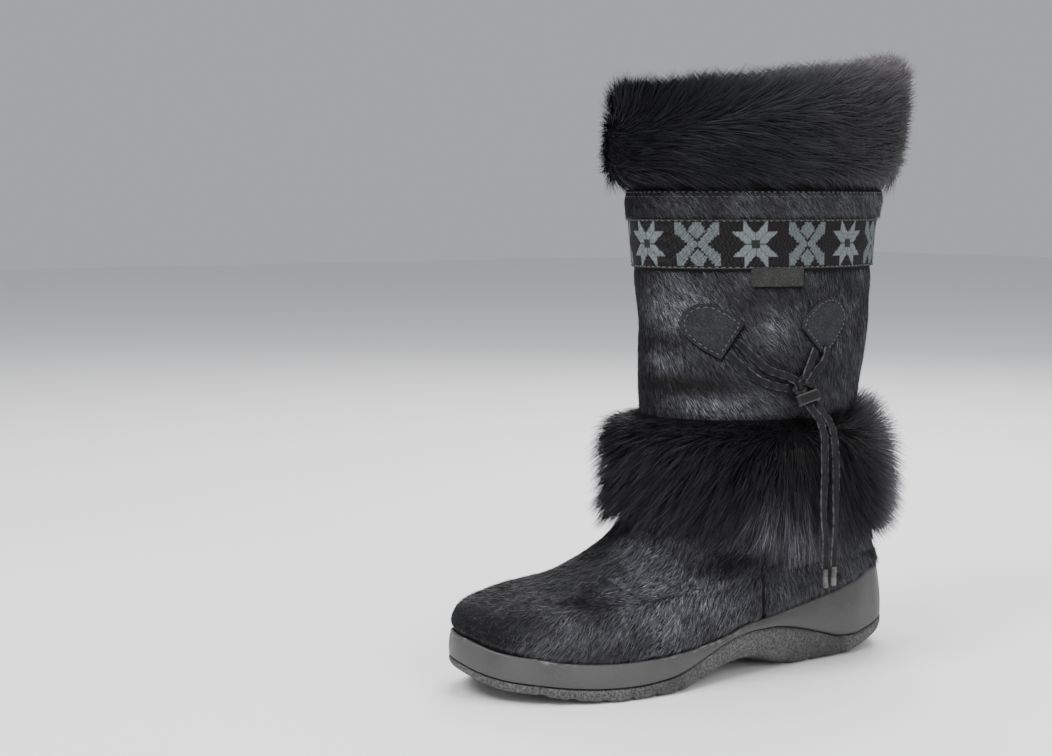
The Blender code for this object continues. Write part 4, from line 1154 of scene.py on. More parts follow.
class BOOT_OT_sole(bpy.types.Operator):
    """Midsole, tread layer with its grooves, and the pile footbed"""
    bl_idname = "boot.sole"
    bl_label = "Sole"

    def execute(self, context):
        settings = settings_of(context)
        phi = turns(320)
        share = share_of(phi)
        self.make_midsole(settings, phi, share)
        self.make_outsole(settings, phi, share)
        self.make_insole(phi, share)
        return {"FINISHED"}

    def make_midsole(self, settings, phi, share):
        """Wedge side as a stack of plan rings from the joint to the lip, leaning in and slightly crowned."""
        line = line_share(phi)
        joint = line_height(GROOVE_LINE, line) + CLEARANCE / 2
        top = line_height(TOP_LINE, line)
        side = lean(share)
        tall = top - joint
        rings = [sole_ring(phi, 0.0016, joint + 0.0001), sole_ring(phi, 0.0007, joint + 0.0004)]
        for part in np.linspace(0.06, 0.97, 22):
            crown = 0.0004 * math.sin(part * math.pi)
            rings.append(sole_ring(phi, side * part ** 1.6 - crown, joint + part * tall))
        rings += [sole_ring(phi, side + 0.0006, top), sole_ring(phi, side + LIP_WIDTH, top),
                  sole_ring(phi, side + LIP_WIDTH, floor_height(line))]
        item = closed_loft("midsole_wedge", np.stack(rings), midsole_material(settings))
        vertices = vertices_of(item)
        station = (HEEL_BACK - vertices[:, 1]) / SOLE_LENGTH
        drop = line_height(TOP_LINE, np.clip(station, 0, 1)) - vertices[:, 2]
        near_edge = smooth_step(1 - np.abs(drop) / 0.0024)
        place = smooth_step((station - 0.46) / 0.05) * smooth_step((0.72 - station) / 0.1) \
            + smooth_step((station - 0.84) / 0.06)
        ragged = smooth_step((noise(vertices, 0.0032, 3) + noise(vertices, 0.0014, 4) - 0.35) * 2.2)
        flecks = np.clip(near_edge * np.clip(place, 0.12, 1) * ragged, 0, 1)
        paint(item, "flecks", flecks[:, None])
        finish_piece(item, ("midsole",))

    def make_outsole(self, settings, phi, share):
        """Tread side and underside as plan rings. Each groove lifts the underside and notches the side."""
        ground = ground_height(phi)
        groove = line_height(GROOVE_LINE, line_share(phi))
        thick = groove - CLEARANCE / 2 - ground
        cut = np.zeros_like(share)
        for station in LUG_STATIONS:
            away = np.abs(share - station) * SOLE_LENGTH
            cut = np.maximum(cut, smooth_step((LUG_WIDTH * 0.9 - away) / (LUG_WIDTH * 0.45)))
        rows = [(0.0050, 0.00), (0.0032, 0.05), (0.0018, 0.14), (0.0008, 0.28), (0.0002, 0.45),
                (-0.0002, 0.62), (-0.0003, 0.80), (-0.0001, 0.92), (0.0008, 0.985), (0.0018, 1.00)]
        rings = []
        for inset, part in rows:
            inset = inset * np.clip(thick / 0.011, 0.15, 1)
            notch = 0.0013 * cut * (1 - smooth_step((part * thick - 0.0040) / 0.0024))
            height = ground + part * thick
            height = np.where(part < 0.12, height + 0.0012 * cut * (1 - part / 0.12), height)
            rings.append(sole_ring(phi, inset + notch, height))
        finish_piece(closed_loft("tread_side", np.stack(rings), outsole_material(settings)),
                     ("outsole",))

    def make_insole(self, phi, share):
        """Footbed: plan rings inside the upper, soft at the rim, with a slight dish."""
        inset = lean(share) + LIP_WIDTH + UPPER_WALL + 2 * CLEARANCE
        low = floor_height(line_share(phi)) + CLEARANCE
        profile = ((0.0, 0.0), (0.0, 0.8), (0.0012, 1.0), (0.006, 0.9), (0.014, 0.8), (0.024, 0.75))
        rings = [sole_ring(phi, inset + reach, low + rise * INSOLE_THICKNESS) for reach, rise in profile]
        finish_piece(closed_loft("footbed", np.stack(rings), pile_material()), ("insole",))


class BOOT_OT_shells(bpy.types.Operator):
    """Hide of the foot and leg, the top band, the collar's body and the ankle fur's body"""
    bl_idname = "boot.shells"
    bl_label = "Shells"

    def execute(self, context):
        hide = hide_material("calf hide", (0.010, 0.010, 0.011))
        dark = hide_material("fur ground", (0.003, 0.003, 0.004))
        self.make_foot(hide)
        self.make_leg(hide)
        self.make_band(hide)
        self.make_collar(dark)
        self.make_ankle(dark)
        return {"FINISHED"}

    def make_foot(self, hide):
        """Foot: the skin's first rows and the same rows moved in by the wall."""
        rows = np.concatenate([[0, 1, 1.5], np.arange(2, FOOT_ROWS - 1, 0.34), [FOOT_ROWS - 1]])
        outer = SKIN.grid(180, rows)
        inner = offset_grid(outer, -UPPER_WALL)
        inner[0, :, 2] = outer[0, :, 2]
        finish_piece(shell("foot_hide", np.concatenate([outer, inner[::-1]]), hide), ("upper",))

    def make_leg(self, hide):
        """Leg: laps over the foot by two rows, then follows the skin up to the rim."""
        rows = np.concatenate([np.arange(FOOT_ROWS - 2, ALL_ROWS - 1, 0.34), [ALL_ROWS - 1]])
        outer = SKIN.grid(ROOT_COLUMNS, rows)
        lap = SHAFT_WALL + LAP_CLEARANCE
        lift = np.where(rows <= FOOT_ROWS - 1, lap, lap * np.clip(FOOT_ROWS + 1 - rows, 0, 2) / 2)
        taper = (lap - LAP_EDGE) * np.clip(1 - (rows - rows[0]), 0, 1)
        grid = np.concatenate([offset_grid(outer, lift - taper), offset_grid(outer, lift - SHAFT_WALL)[::-1]])
        finish_piece(shell("leg_hide", grid, hide), ("shaft",))

    def make_band(self, hide):
        """Band under the collar: a slightly crowned ring between its two edges."""
        part = np.linspace(0, 1, 9)
        heights = BAND_LOW + part * (BAND_HIGH - BAND_LOW)
        crown = 0.0010 + 0.0006 * np.sin(part * math.pi)
        outer = wall_grid(BODY_COLUMNS, heights, CLEARANCE + crown)
        inner = wall_grid(BODY_COLUMNS, heights[::-1], CLEARANCE)
        finish_piece(shell("band_hide", np.concatenate([outer, inner]), hide), ("top_band",))

    def make_collar(self, dark):
        """Collar's body, a little inside the fur's own outline, hooked over the rim."""
        outer = collar_roots(BODY_COLUMNS, 44)
        rim = tilted(*SHAFT[-1][:2], share_of(turns(BODY_COLUMNS)))
        hem = BAND_HIGH + CUFF_DROP + 0 * rim
        inside = -(SHAFT_WALL + 2 * CLEARANCE)
        outside = 2 * CLEARANCE
        steps = ((rim - 0.010, inside), (rim + CLEARANCE, inside), (rim + CLEARANCE, outside), (hem, outside))
        hook = [wall_grid(BODY_COLUMNS, height[None], lift) for height, lift in steps]
        finish_piece(shell("collar_body", np.concatenate([outer] + hook), dark), ("cuff",))

    def make_ankle(self, dark):
        """Ankle fur's body: its outer ellipses, closed against the leg inside."""
        outer = ankle_roots(BODY_COLUMNS, 30)
        high = outer[-1:, :, 2]
        low = outer[:1, :, 2]
        inner = [wall_grid(BODY_COLUMNS, high + ANKLE_FILLET, 0.0004)]
        for part in np.linspace(0, 1, 12):
            inner.append(wall_grid(BODY_COLUMNS, high * (1 - part) + low * part, 0.0006 + 0.0010 * part))
        finish_piece(shell("ankle_body", np.concatenate([outer] + inner), dark), ("fur_band",))


def calf_colours(points, rng, count, pale):
    """Root and tip colours of short hair: dark grey with finer streaks, a little lighter on the foot, painted
    lighter on the outer side as its lit side and near black on the inner side, with painted shade in dark
    bands and painted sheen in soft lighter patches.
    """
    # painted sheen and painted shade: lighter and darker patches that stand in for the hair's gloss
    painted_sheen = bells(PAINTED_SHEEN, points) * (0.80 + 0.30 * noise(points, 0.008, 21))
    painted_dim = np.clip(1 - bells(PAINTED_SHADE, points), 0.04, 1)
    cloud = 0.75 + 0.25 * noise(points, 0.020, 22) + 0.30 * smooth_step((0.105 - points[:, 2]) / 0.03)
    # painted light: the outer side is painted lighter as the lit side, the inner side stays near black
    outer = smooth_step((points[:, 0] + 0.015) / 0.045)
    single = rng.gamma(1.8, 0.55, count) * np.clip(1 + 0.60 * noise(points, 0.0014, 23), 0.1, 2)
    value = 0.004 + ((0.012 + 0.058 * outer) * cloud + 0.115 * painted_sheen) * painted_dim * single + pale * single
    tip = value[:, None] * np.array([0.965, 0.955, 1.10])
    return tip * 0.35, tip


class BOOT_OT_calf_hair(bpy.types.Operator):
    """Short glossy hair on the foot, the leg and the top band"""
    bl_idname = "boot.calf_hair"
    bl_label = "Short hair"

    def execute(self, context):
        settings = settings_of(context)
        self.gloss = hair_material("calf hair", 0.45, 0.28)
        self.foot(settings)
        self.leg(settings)
        self.band(settings)
        return {"FINISHED"}

    def grow(self, name, sheet, phi, row, rng, flow, length, width, lift, swirl, pale=0.0):
        """Hairs that lie along a flow on a sheet, turned a little by swirl, and lifted off it by lift."""
        count = len(phi)
        point, _, _, normal = sheet.axes(phi, row)
        turn = swirl * noise(point, 0.040, 31) + 0.10 * noise(point, 0.012, 32) + rng.normal(0, 0.15, count)
        along = laid_flat(flow, normal)
        along = unit(swing(along, np.cross(normal, along), turn))
        rise = lift * (1 + 0.25 * noise(point, 0.016, 33) + rng.normal(0, 0.25, count))
        direction = unit(along + normal * rise[:, None])
        facing = facing_side(direction, normal, 0.5, rng)
        root, tip = calf_colours(point, rng, count, pale)
        long_ = length * rng.uniform(0.65, 1.25, count)
        bend = rng.normal(0, 0.04, (count, 3))
        item = strand_mesh(name, point - normal * CALF_ROOT_DEPTH, direction, facing, long_,
                           width * rng.uniform(0.7, 1.3, count), bend, 1, root, tip, self.gloss)
        return finish_piece(item, ())

    def foot(self, settings):
        """Hair of the foot runs forward and down over the toe, and straight down behind the side seam. It
        also covers the leg's lap over the foot; none grows in the side seam.
        """
        rng = np.random.default_rng(11)
        first = FOOT_ROWS - 2
        rows = np.concatenate([np.arange(0, first), [first - 0.1], np.arange(first, FOOT_ROWS + 2)])
        lap = SHAFT_WALL + LAP_CLEARANCE
        lift = np.where(rows < first - 0.05, 0.0, lap * np.clip(FOOT_ROWS + 1 - rows, 0, 2) / 2)
        lift = np.where(np.abs(rows - first) < 0.05, LAP_EDGE, lift)
        sheet = Sheet(offset_grid(SKIN.grid(ROOT_COLUMNS, rows), lift))
        phi, row = sheet.scatter(rng, int(settings.calf_hairs * 1.25), 1.6, len(rows) - 1.2)
        point = sheet.at(phi, row)
        front = smooth_step(-(point[:, 1] + 0.02) / 0.08)
        edge = BOOT_HEIGHT * (0.235 + 0.065 * front)
        seam = (np.abs(point[:, 1] - SEAM_Y) < 0.0012) & (point[:, 0] > 0.02)
        keep = np.nonzero((point[:, 2] < edge) & ~seam)[0][:settings.calf_hairs]
        ahead = smooth_step((SEAM_Y + 0.008 - point[keep, 1]) / 0.022)
        tip = smooth_step(-(point[keep, 1] + 0.185) / 0.022)
        flow = np.stack([0.10 * ahead, 0.06 - 0.80 * ahead, -0.95 + 0.25 * ahead], axis=1)
        self.grow("foot_hair", sheet, phi[keep], row[keep], rng, flow,
                  settings.calf_length * (1 - 0.5 * tip), 0.00026, 0.20 - 0.17 * tip, 0.12)

    def leg(self, settings):
        """Hair of the leg runs down and a little back; none grows under patches and tab."""
        rng = np.random.default_rng(12)
        low, high = row_at(0.128), row_at(BRAID_LOW - 0.0005)
        phi, row = SKIN.scatter(rng, int(settings.calf_hairs * 0.78), low, high)
        keep = ~under_patches(SKIN.at(phi, row))
        phi, row = phi[keep], row[keep]
        point, round_, up, _ = SKIN.axes(phi, row)
        outer = smooth_step((np.sin(phi) + 0.5) / 0.6)
        back = 0.85 * outer * smooth_step((-point[:, 1] - 0.015) / 0.045) - 0.10 * outer
        flow = -up - round_ * back[:, None]
        self.grow("leg_hair", SKIN, phi, row, rng, flow, settings.calf_length, 0.00026, 0.14, 0.16)

    def band(self, settings):
        """Hair of the top band hangs down from its stitched upper edge."""
        rng = np.random.default_rng(13)
        part = np.linspace(0, 1, 5)
        sheet = Sheet(wall_grid(ROOT_COLUMNS, BAND_LOW + part * (BAND_HIGH - BAND_LOW), CLEARANCE + 0.0014))
        phi, row = sheet.scatter(rng, int(settings.calf_hairs * 0.17), 0.9, 3.6)
        _, round_, up, _ = sheet.axes(phi, row)
        outer = smooth_step((np.sin(phi) + 0.5) / 0.6)
        flow = -up - round_ * (0.80 * outer)[:, None]
        pale = 0.006 * smooth_step((row - 1.2) / 1.6) * outer
        self.grow("band_hair", sheet, phi, row, rng, flow, settings.calf_length, 0.00029, 0.16, 0.12, pale)


def dense_outline(name, steps):
    """Outline of a patch in metres of station and height: straight runs at its corners, smooth between."""
    outline = np.array(PATCHES[name]) * (SOLE_LENGTH, BOOT_HEIGHT)
    count = len(outline)
    corners = PATCH_CORNERS[name]
    curve = outline[np.arange(corners[1], corners[0] + count + 1) % count]
    run = run_along(curve)
    at = np.linspace(0, run[-1], steps)
    round_part = np.stack([smooth_curve(run, curve[:, axis], at) for axis in range(2)], axis=1)
    part = np.linspace(0, 1, max(4, steps // 4))[1:-1, None]
    straight = outline[corners[0]] * (1 - part) + outline[corners[1]] * part
    return np.concatenate([round_part, straight])


def under_patches(points):
    """True for points of the leg's outer side that a patch or the tab covers."""
    station = HEEL_BACK - points[:, 1]
    covered = np.zeros(len(points), bool)
    for name in PATCHES:
        outline = dense_outline(name, 40)
        inside = np.zeros(len(points), bool)
        for (s0, z0), (s1, z1) in zip(outline, np.roll(outline, -1, axis=0)):
            crosses = (z0 > points[:, 2]) != (z1 > points[:, 2])
            at = s0 + (points[:, 2] - z0) / (z1 - z0 if z1 != z0 else 1e-9) * (s1 - s0)
            inside ^= crosses & (station < at)
        covered |= inside
    tab_low, tab_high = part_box("side_label")
    tab = (points[:, 1] > tab_low.y) & (points[:, 1] < tab_high.y) & (points[:, 2] > tab_low.z)
    return (covered | tab) & (points[:, 0] > 0.02)


class BOOT_OT_long_fur(bpy.types.Operator):
    """Long hair of the collar and of the ankle fur"""
    bl_idname = "boot.long_fur"
    bl_label = "Long fur"

    def execute(self, context):
        settings = settings_of(context)
        self.gloss = hair_material("long fur", 0.5, 0.22)
        self.collar(settings)
        self.ankle(settings)
        return {"FINISHED"}

    def collar(self, settings):
        """Collar hair is combed level, one way round, and stands up at the top. It hangs in tufts at the
        hem, and is black in front, grey-brown behind and along the top.
        """
        rows = 40
        sheet = Sheet(collar_roots(ROOT_COLUMNS, rows))
        edge = rows * 5.0 / (len(CUFF_PROFILE) - 1)
        profile = np.array(CUFF_PROFILE)[:, 1]
        cold = np.array([0.88, 0.90, 1.22])
        warm = np.array([1.14, 1.02, 1.04])
        half = settings.collar_hairs // 2
        parts = (("collar_hair_low", 41, 0.5, edge), ("collar_hair_high", 42, edge, 36.0))
        for name, seed, low, high in parts:
            rng = np.random.default_rng(seed)
            phi, row = sheet.scatter(rng, half, low, high)
            count = len(phi)
            point, round_, up, normal = sheet.axes(phi, row)
            height = np.interp(row, np.linspace(0, rows - 1, len(profile)), profile)
            over = smooth_step((row - edge - 4.0) / 7.0)
            hem = smooth_step((0.20 - height) / 0.20)
            top = smooth_step((height - 0.52) / 0.46)
            tufts = sum(np.exp(-(np.angle(np.exp(1j * (phi - turn))) / wide) ** 2) for turn, wide in HEM_TUFTS)
            wave = 0.26 * noise(point, 0.050, 51) + 0.12 * noise(point, 0.014, 52)
            wave += rng.normal(0, 0.06, count)
            fore = smooth_step((-point[:, 1] - 0.055) / 0.05)
            tilt = 0.12 + 0.60 * hem + 1.6 * hem * tufts - 0.35 * top - 0.30 * fore * top
            along = unit(-round_ - up * (tilt * (1 - 0.7 * over))[:, None])
            side = np.cross(normal, along)
            along = unit(swing(along, side, wave))
            rise = (0.22 + 0.35 * top + 0.25 * hem * tufts + 0.10 * noise(point, 0.012, 53)
                    + rng.normal(0, 0.08 + 0.10 * top, count))
            stand = (0.32 + 0.45 * fore - 0.10 * (point[:, 1] > 0)) * top
            direction = unit(along + normal * rise[:, None] + UPRIGHT * stand[:, None])
            lock = noise(point, 0.007, 54)
            press = 0.38 * rise * (1 - 0.75 * top)
            bend = (-normal * press[:, None] - UPRIGHT * 0.05 + side * (0.12 * lock)[:, None]
                    + rng.normal(0, 0.04, (count, 3)))
            facing = facing_side(direction, normal, 0.6, rng)
            behind = smooth_step((point[:, 1] + 0.085) / 0.125)
            middle = smooth_step((point[:, 1] + 0.110) / 0.06)
            pale = 0.06 + 0.12 * middle + 0.62 * behind * (0.32 + 0.68 * top)
            single = rng.gamma(4.5, 0.22, count)
            value = 0.0046 + 0.066 * pale * single + 0.003 * np.clip(lock, 0, 1)
            tip = value[:, None] * (cold * (1 - behind[:, None]) + warm * behind[:, None])
            length = settings.collar_length * rng.uniform(0.55, 1.1, count) * (1 - 0.30 * over)
            item = strand_mesh(name, point - normal * COLLAR_ROOT_DEPTH, direction, facing, length,
                               rng.uniform(0.00022, 0.00040, count), bend, 3, tip * 0.3, tip, self.gloss)
            finish_piece(item, ())

    def ankle(self, settings):
        """Ankle hair fans out from the middle of the outer side: forward in front, down in the middle and
        backward behind, in locks that share a bend; near black, with grey streaks low on the outer side.
        The last rows close the fur's top against the leg.
        """
        outer = ankle_roots(ROOT_COLUMNS, 26)
        high = outer[-1:, :, 2]
        inner = wall_grid(ROOT_COLUMNS, high + ANKLE_FILLET, 0.0006)
        top_rows = [outer[-1:] * (1 - part) + inner * part for part in (0.35, 0.7, 1.0)]
        sheet = Sheet(np.concatenate([outer] + top_rows))
        half = settings.ankle_hairs // 2
        parts = (("ankle_hair_low", 61, 0.0, 12.0), ("ankle_hair_high", 62, 12.0, 27.9))
        for name, seed, first, last in parts:
            rng = np.random.default_rng(seed)
            phi, row = sheet.scatter(rng, half, first, last)
            count = len(phi)
            point, _, _, normal = sheet.axes(phi, row)
            height = np.clip(row / 25.0, 0, 1)
            rim = smooth_step((row + rng.normal(0, 1.0, count) - 20.5) / 6.5)
            lock = noise(point, 0.009, 71)
            away = unit(away_from_leg(point))
            fan = away[:, 1]
            sweep = np.sign(fan) * smooth_step((np.abs(fan) - 0.10) / 0.6)
            level = np.array([0.0, 0.75, 0.0]) * sweep[:, None]
            crest = np.where(fan > 0, 2.50, 0.60)
            down = 0.90 - 0.50 * np.abs(sweep) - crest * smooth_step((height - 0.50) / 0.50) * np.abs(sweep)
            rise = 0.50 + 0.30 * np.abs(sweep) + 0.12 * lock + rng.normal(0, 0.12, count)
            rise = rise * (1 - 0.30 * smooth_step((0.18 - height) / 0.18))
            waist = np.exp(-((height - 0.38) / 0.16) ** 2) * (fan < -0.3)
            rise = rise * (1 - 0.45 * waist)
            out = normal * (1 - rim[:, None]) + away * rim[:, None]
            crown = 0.80 + 3.0 * smooth_step(fan) + 0.10 * smooth_step((-fan - 0.5) / 0.4)
            stand = UPRIGHT * (crown * rim * rng.uniform(0.2, 1.2, count))[:, None]
            side = np.cross(away, UPRIGHT)
            direction = unit(level - UPRIGHT * (down * (1 - rim))[:, None] + out * rise[:, None] + stand
                             + side * (0.16 * lock + rng.normal(0, 0.10, count))[:, None])
            bend = (-out * (0.22 * rise * (1 - rim))[:, None] - UPRIGHT * 0.20 * (1 + rim[:, None])
                    + rng.normal(0, 0.05, (count, 3)))
            facing = facing_side(direction, out, 0.7, rng)
            streak = np.exp(-((point[:, 1] + 0.048) / 0.020) ** 2 - ((point[:, 2] - 0.084) / 0.018) ** 2)
            streak *= (point[:, 0] > 0) * (0.5 + 0.5 * noise(point, 0.005, 72))
            outer_part = smooth_step((np.abs(fan) - 0.45) / 0.5)
            grey = 0.018 + 0.170 * smooth_step(fan * 1.5) * smooth_step((point[:, 0] + 0.010) / 0.035)
            single = rng.gamma(2.6, 0.38, count)
            value = 0.0095 + grey * outer_part * single + 0.230 * streak * single
            value += 0.03 * (rng.random(count) > 0.985)
            tip = value[:, None] * np.array([0.98, 0.95, 1.12])
            short = 0.45 - 0.55 * smooth_step(fan)
            length = settings.ankle_length * rng.uniform(0.45, 1.0, count) * (1 - short * rim)
            length = length * (1 - 0.25 * smooth_step((0.15 - height) / 0.15) * (fan > 0.3))
            item = strand_mesh(name, point - normal * ANKLE_ROOT_DEPTH, direction, facing, length,
                               rng.uniform(0.00026, 0.00046, count), bend, 3, tip * 0.3, tip, self.gloss)
            finish_piece(item, ())


def star_motif(a, b):
    """Eight-pointed star of the braid, in shares of its half size: eight leaning diamonds meet in the middle,
    so that twin points show on each side, with a square eye. Returns motif, eye and dark line masks.
    """
    x, y = np.abs(a), np.abs(b)
    long_ = np.maximum(x, y)
    short = np.minimum(x, y)
    motif = (short <= 0.53) & (long_ <= 0.45 + 1.07 * short)
    eye = long_ < 0.19
    line = ((long_ - short < 0.040) | (short < 0.028)) & (long_ > 0.20)
    return motif & ~eye, eye, line & motif


def cross_motif(a, b):
    """Woven cross of the braid: two ribbed leaves on the diagonals, their edges stepped, and a six-sided
    bud above and below. Returns the motif and its ribs.
    """
    x, y = np.abs(a), np.abs(b)
    step = 0.06 * (np.mod(np.floor((x + y) / 0.12), 2) - 0.5)
    leaf = (y - x < 0.03 + 0.30 * x + step) & (x - y < 0.36 + 0.16 * x + step)
    leaf = leaf & (x < 0.98) & (y < 0.93)
    bud = (x < 1.1 * (y - 0.20)) & (x < 0.36 + step) & (x < 0.36 - 0.8 * (y - 0.68)) & (y < 0.93)
    near = (x < 1.1 * (y - 0.12)) & (x < 0.43) & ~bud
    rib = np.mod((x + y) * 9.0, 1.0) < 0.32
    return (leaf & ~near) | bud, rib


class BOOT_OT_braid(bpy.types.Operator):
    """Woven band with stars and crosses, its edge stitches and the plain tab below it"""
    bl_idname = "boot.braid"
    bl_label = "Woven band"

    def execute(self, context):
        settings = settings_of(context)
        self.make_braid(settings, painted_material("woven braid", "thread_colour", 0.85, 2200.0, 0.35))
        self.make_tab()
        self.make_stitches(painted_material("thread", "thread_colour", 0.75, 2500.0, 0.2))
        return {"FINISHED"}

    def make_braid(self, settings, weave):
        """Band on a fine grid of turn and height. The motifs repeat along it by its own length and are read
        in whole weave cells, so that their edges step as woven ones do; they stand 0.25 mm proud.
        """
        columns, rows = 1040, 60
        thickness, cell, pitch, middle_star = 0.0008, 0.00052, 0.0304, 0.1278
        high = BRAID_HIGH - BRAID_LOW
        half_motif = high / 2 * 0.94
        part = np.linspace(0, 1, rows)
        heights = BRAID_LOW + part * high
        base = wall_grid(columns, heights, CLEARANCE + thickness)
        run = run_along(base[rows // 2])
        along = run[None, :] + 0 * part[:, None]
        start = run[np.argmin(np.abs(np.arange(columns) - columns * self.turn_of_station(middle_star)))]
        place = (along - start) / pitch
        number = np.round(place)
        a = np.round((place - number) * pitch / cell) * cell / half_motif
        b = np.round((heights - heights.mean())[:, None] / cell) * cell / half_motif + 0 * along
        star, eye, line = star_motif(a, b)
        cross, rib = cross_motif(a, b)
        even = np.mod(number, 2) == 0
        from_back = np.abs(np.mod(np.arange(columns) / columns + 0.5, 1.0) - 0.5) * run[-1]
        seam = from_back < 0.0035 + 0 * part[:, None]
        motif = np.where(even, star, cross) & ~seam
        wave = TAU / (3.1 * cell)
        weft = 0.5 + 0.5 * np.sin(along * wave) * np.sin(part[:, None] * high * wave)
        points = base.reshape(-1, 3)
        fleck = noise(points, 0.0012, 81).reshape(rows, columns)
        hue = noise(points, 0.0024, 82).reshape(rows, columns)
        dull = np.clip(0.25 + 1.1 * weft + 1.2 * fleck, 0.1, 4)[:, :, None]
        ground = np.array(settings.ground_colour) * dull
        ground = ground * (1 + hue[:, :, None] * np.array([0.40, 0.05, 0.15]))
        pale = np.array(settings.motif_colour) * (0.62 + 0.45 * weft + 0.22 * fleck)[:, :, None]
        silver = pale * np.array([0.80, 0.80, 0.79]) * np.where(rib, 0.62, 1.0)[:, :, None]
        shade = np.where(even[:, :, None], pale * np.where(line, 0.35, 1.0)[:, :, None], silver)
        colour = np.where(motif[:, :, None], shade, ground)
        colour = np.where((eye & even & ~seam)[:, :, None], np.array([0.014, 0.020, 0.017]), colour)
        edge = (np.abs(part - 0.5) > 0.475)[:, None]
        bound = np.array([0.045, 0.045, 0.043]) * (0.3 + 0.9 * weft)[:, :, None]
        colour = np.where(edge[:, :, None], bound, colour)
        proud = np.where(seam, -0.0001, 0.00025 * motif + 0.00012 * weft + 0.00025 * edge)
        grid = wall_grid(columns, heights, CLEARANCE + thickness + proud)
        inner = wall_grid(columns, heights[[-1, 0]], CLEARANCE * 0.6)
        item = shell("braid_weave", np.concatenate([grid, inner]), weave)
        rim = np.full((2 * columns, 3), 0.03)
        paint(item, "thread_colour", np.concatenate([np.clip(colour, 0.002, 1).reshape(-1, 3), rim]))
        finish_piece(item, ("braid_band",))

    def turn_of_station(self, station):
        """Share of a full turn at which a station in metres lies on the braid's outer side."""
        front, back = SHAFT[6][2] * SOLE_LENGTH, SHAFT[6][3] * SOLE_LENGTH
        return math.acos(1 - 2 * (station - back) / (front - back)) / TAU

    def make_tab(self):
        """Plain tab: a folded strip of leather, slightly crowned, with a turned lower edge."""
        low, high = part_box("side_label")
        columns, tuck = 40, 0.0010
        stations = HEEL_BACK - np.linspace(high.y, low.y, columns)
        across = np.linspace(0, 1, 16)
        s, z = np.meshgrid(stations, BRAID_LOW + tuck - across * (BRAID_LOW + tuck - low.z))
        bulge = 0.0004 * np.sin(across * math.pi) + 0.0005 * smooth_step((across - 0.80) / 0.1)
        side = np.minimum(np.arange(columns), columns - 1 - np.arange(columns))[None, :]
        round_off = smooth_step(side / 2.0)
        front = wall_points(s, z, 0.0010 + (0.0006 + bulge[:, None]) * round_off)
        back = wall_points(s, z, 0.0005)
        leather = suede_material("tab leather", (0.042, 0.042, 0.040), 1500.0)
        item = closed_loft("plain_tab", np.concatenate([front, back[:, ::-1]], axis=1), leather)
        finish_piece(item, ("side_label",))

    def make_stitches(self, thread):
        """Rows of stitches round the leg, each with its height, pitch and lift: spindles with gaps."""
        rows = ((BRAID_LOW + 0.0008, 0.0036, 0.0012), (BRAID_HIGH - 0.0008, 0.0036, 0.0012),
                (BAND_HIGH - 0.0012, 0.0034, 0.0016), (BAND_HIGH - 0.0036, 0.0034, 0.0018))
        columns = 960
        starts = []
        ends = []
        for height, pitch, lift in rows:
            ring = wall_grid(columns, [height], lift)[0]
            run = run_along(ring)
            begin = stitch_starts(run, pitch)
            for shift, box in ((0.0, starts), (0.62 * pitch, ends)):
                box.append(ring[np.searchsorted(run, begin + shift) % columns])
        item = spindle_mesh("band_stitches", np.concatenate(starts), np.concatenate(ends), 0.00026, thread)
        paint(item, "thread_colour", 0.110)
        finish_piece(item, ())


def stitch_starts(run, pitch):
    """Even places near a pitch apart along a closed run, where its stitches begin."""
    count = int(run[-1] / pitch)
    return np.arange(count) * run[-1] / count


def spindle_mesh(name, start, end, radius, made_of):
    """Stitches as six-sided spindles from start to end: the radius at share t is
    radius times the root of 4 t (1 - t), and the middle stands a radius proud.
    """
    count = len(start)
    t = np.array([0.0, 0.2, 0.5, 0.8, 1.0])
    size = radius * np.sqrt(np.clip(4 * t * (1 - t), 0.04, 1))
    along = unit(end - start)
    out = laid_flat(away_from_leg(start), along)
    side = np.cross(along, out)
    sides = 6
    angle = turns(sides)
    line = start[:, None] * (1 - t)[None, :, None] + end[:, None] * t[None, :, None]
    line = line + out[:, None] * (radius * 4 * t * (1 - t))[None, :, None]
    circle = side[:, None] * np.cos(angle)[None, :, None] + out[:, None] * np.sin(angle)[None, :, None]
    grid = line[:, :, None] + circle[:, None] * size[None, :, None, None]
    each = len(t) * sides
    ends = np.array([(0, 1, 2, 3), (0, 3, 4, 5)])
    pattern = np.concatenate([ring_faces(len(t), sides)[:, ::-1], ends, (ends + each - sides)[:, ::-1]])
    faces = (pattern[None] + (np.arange(count) * each)[:, None, None]).reshape(-1, 4)
    return make_mesh(name, grid, faces, made_of)


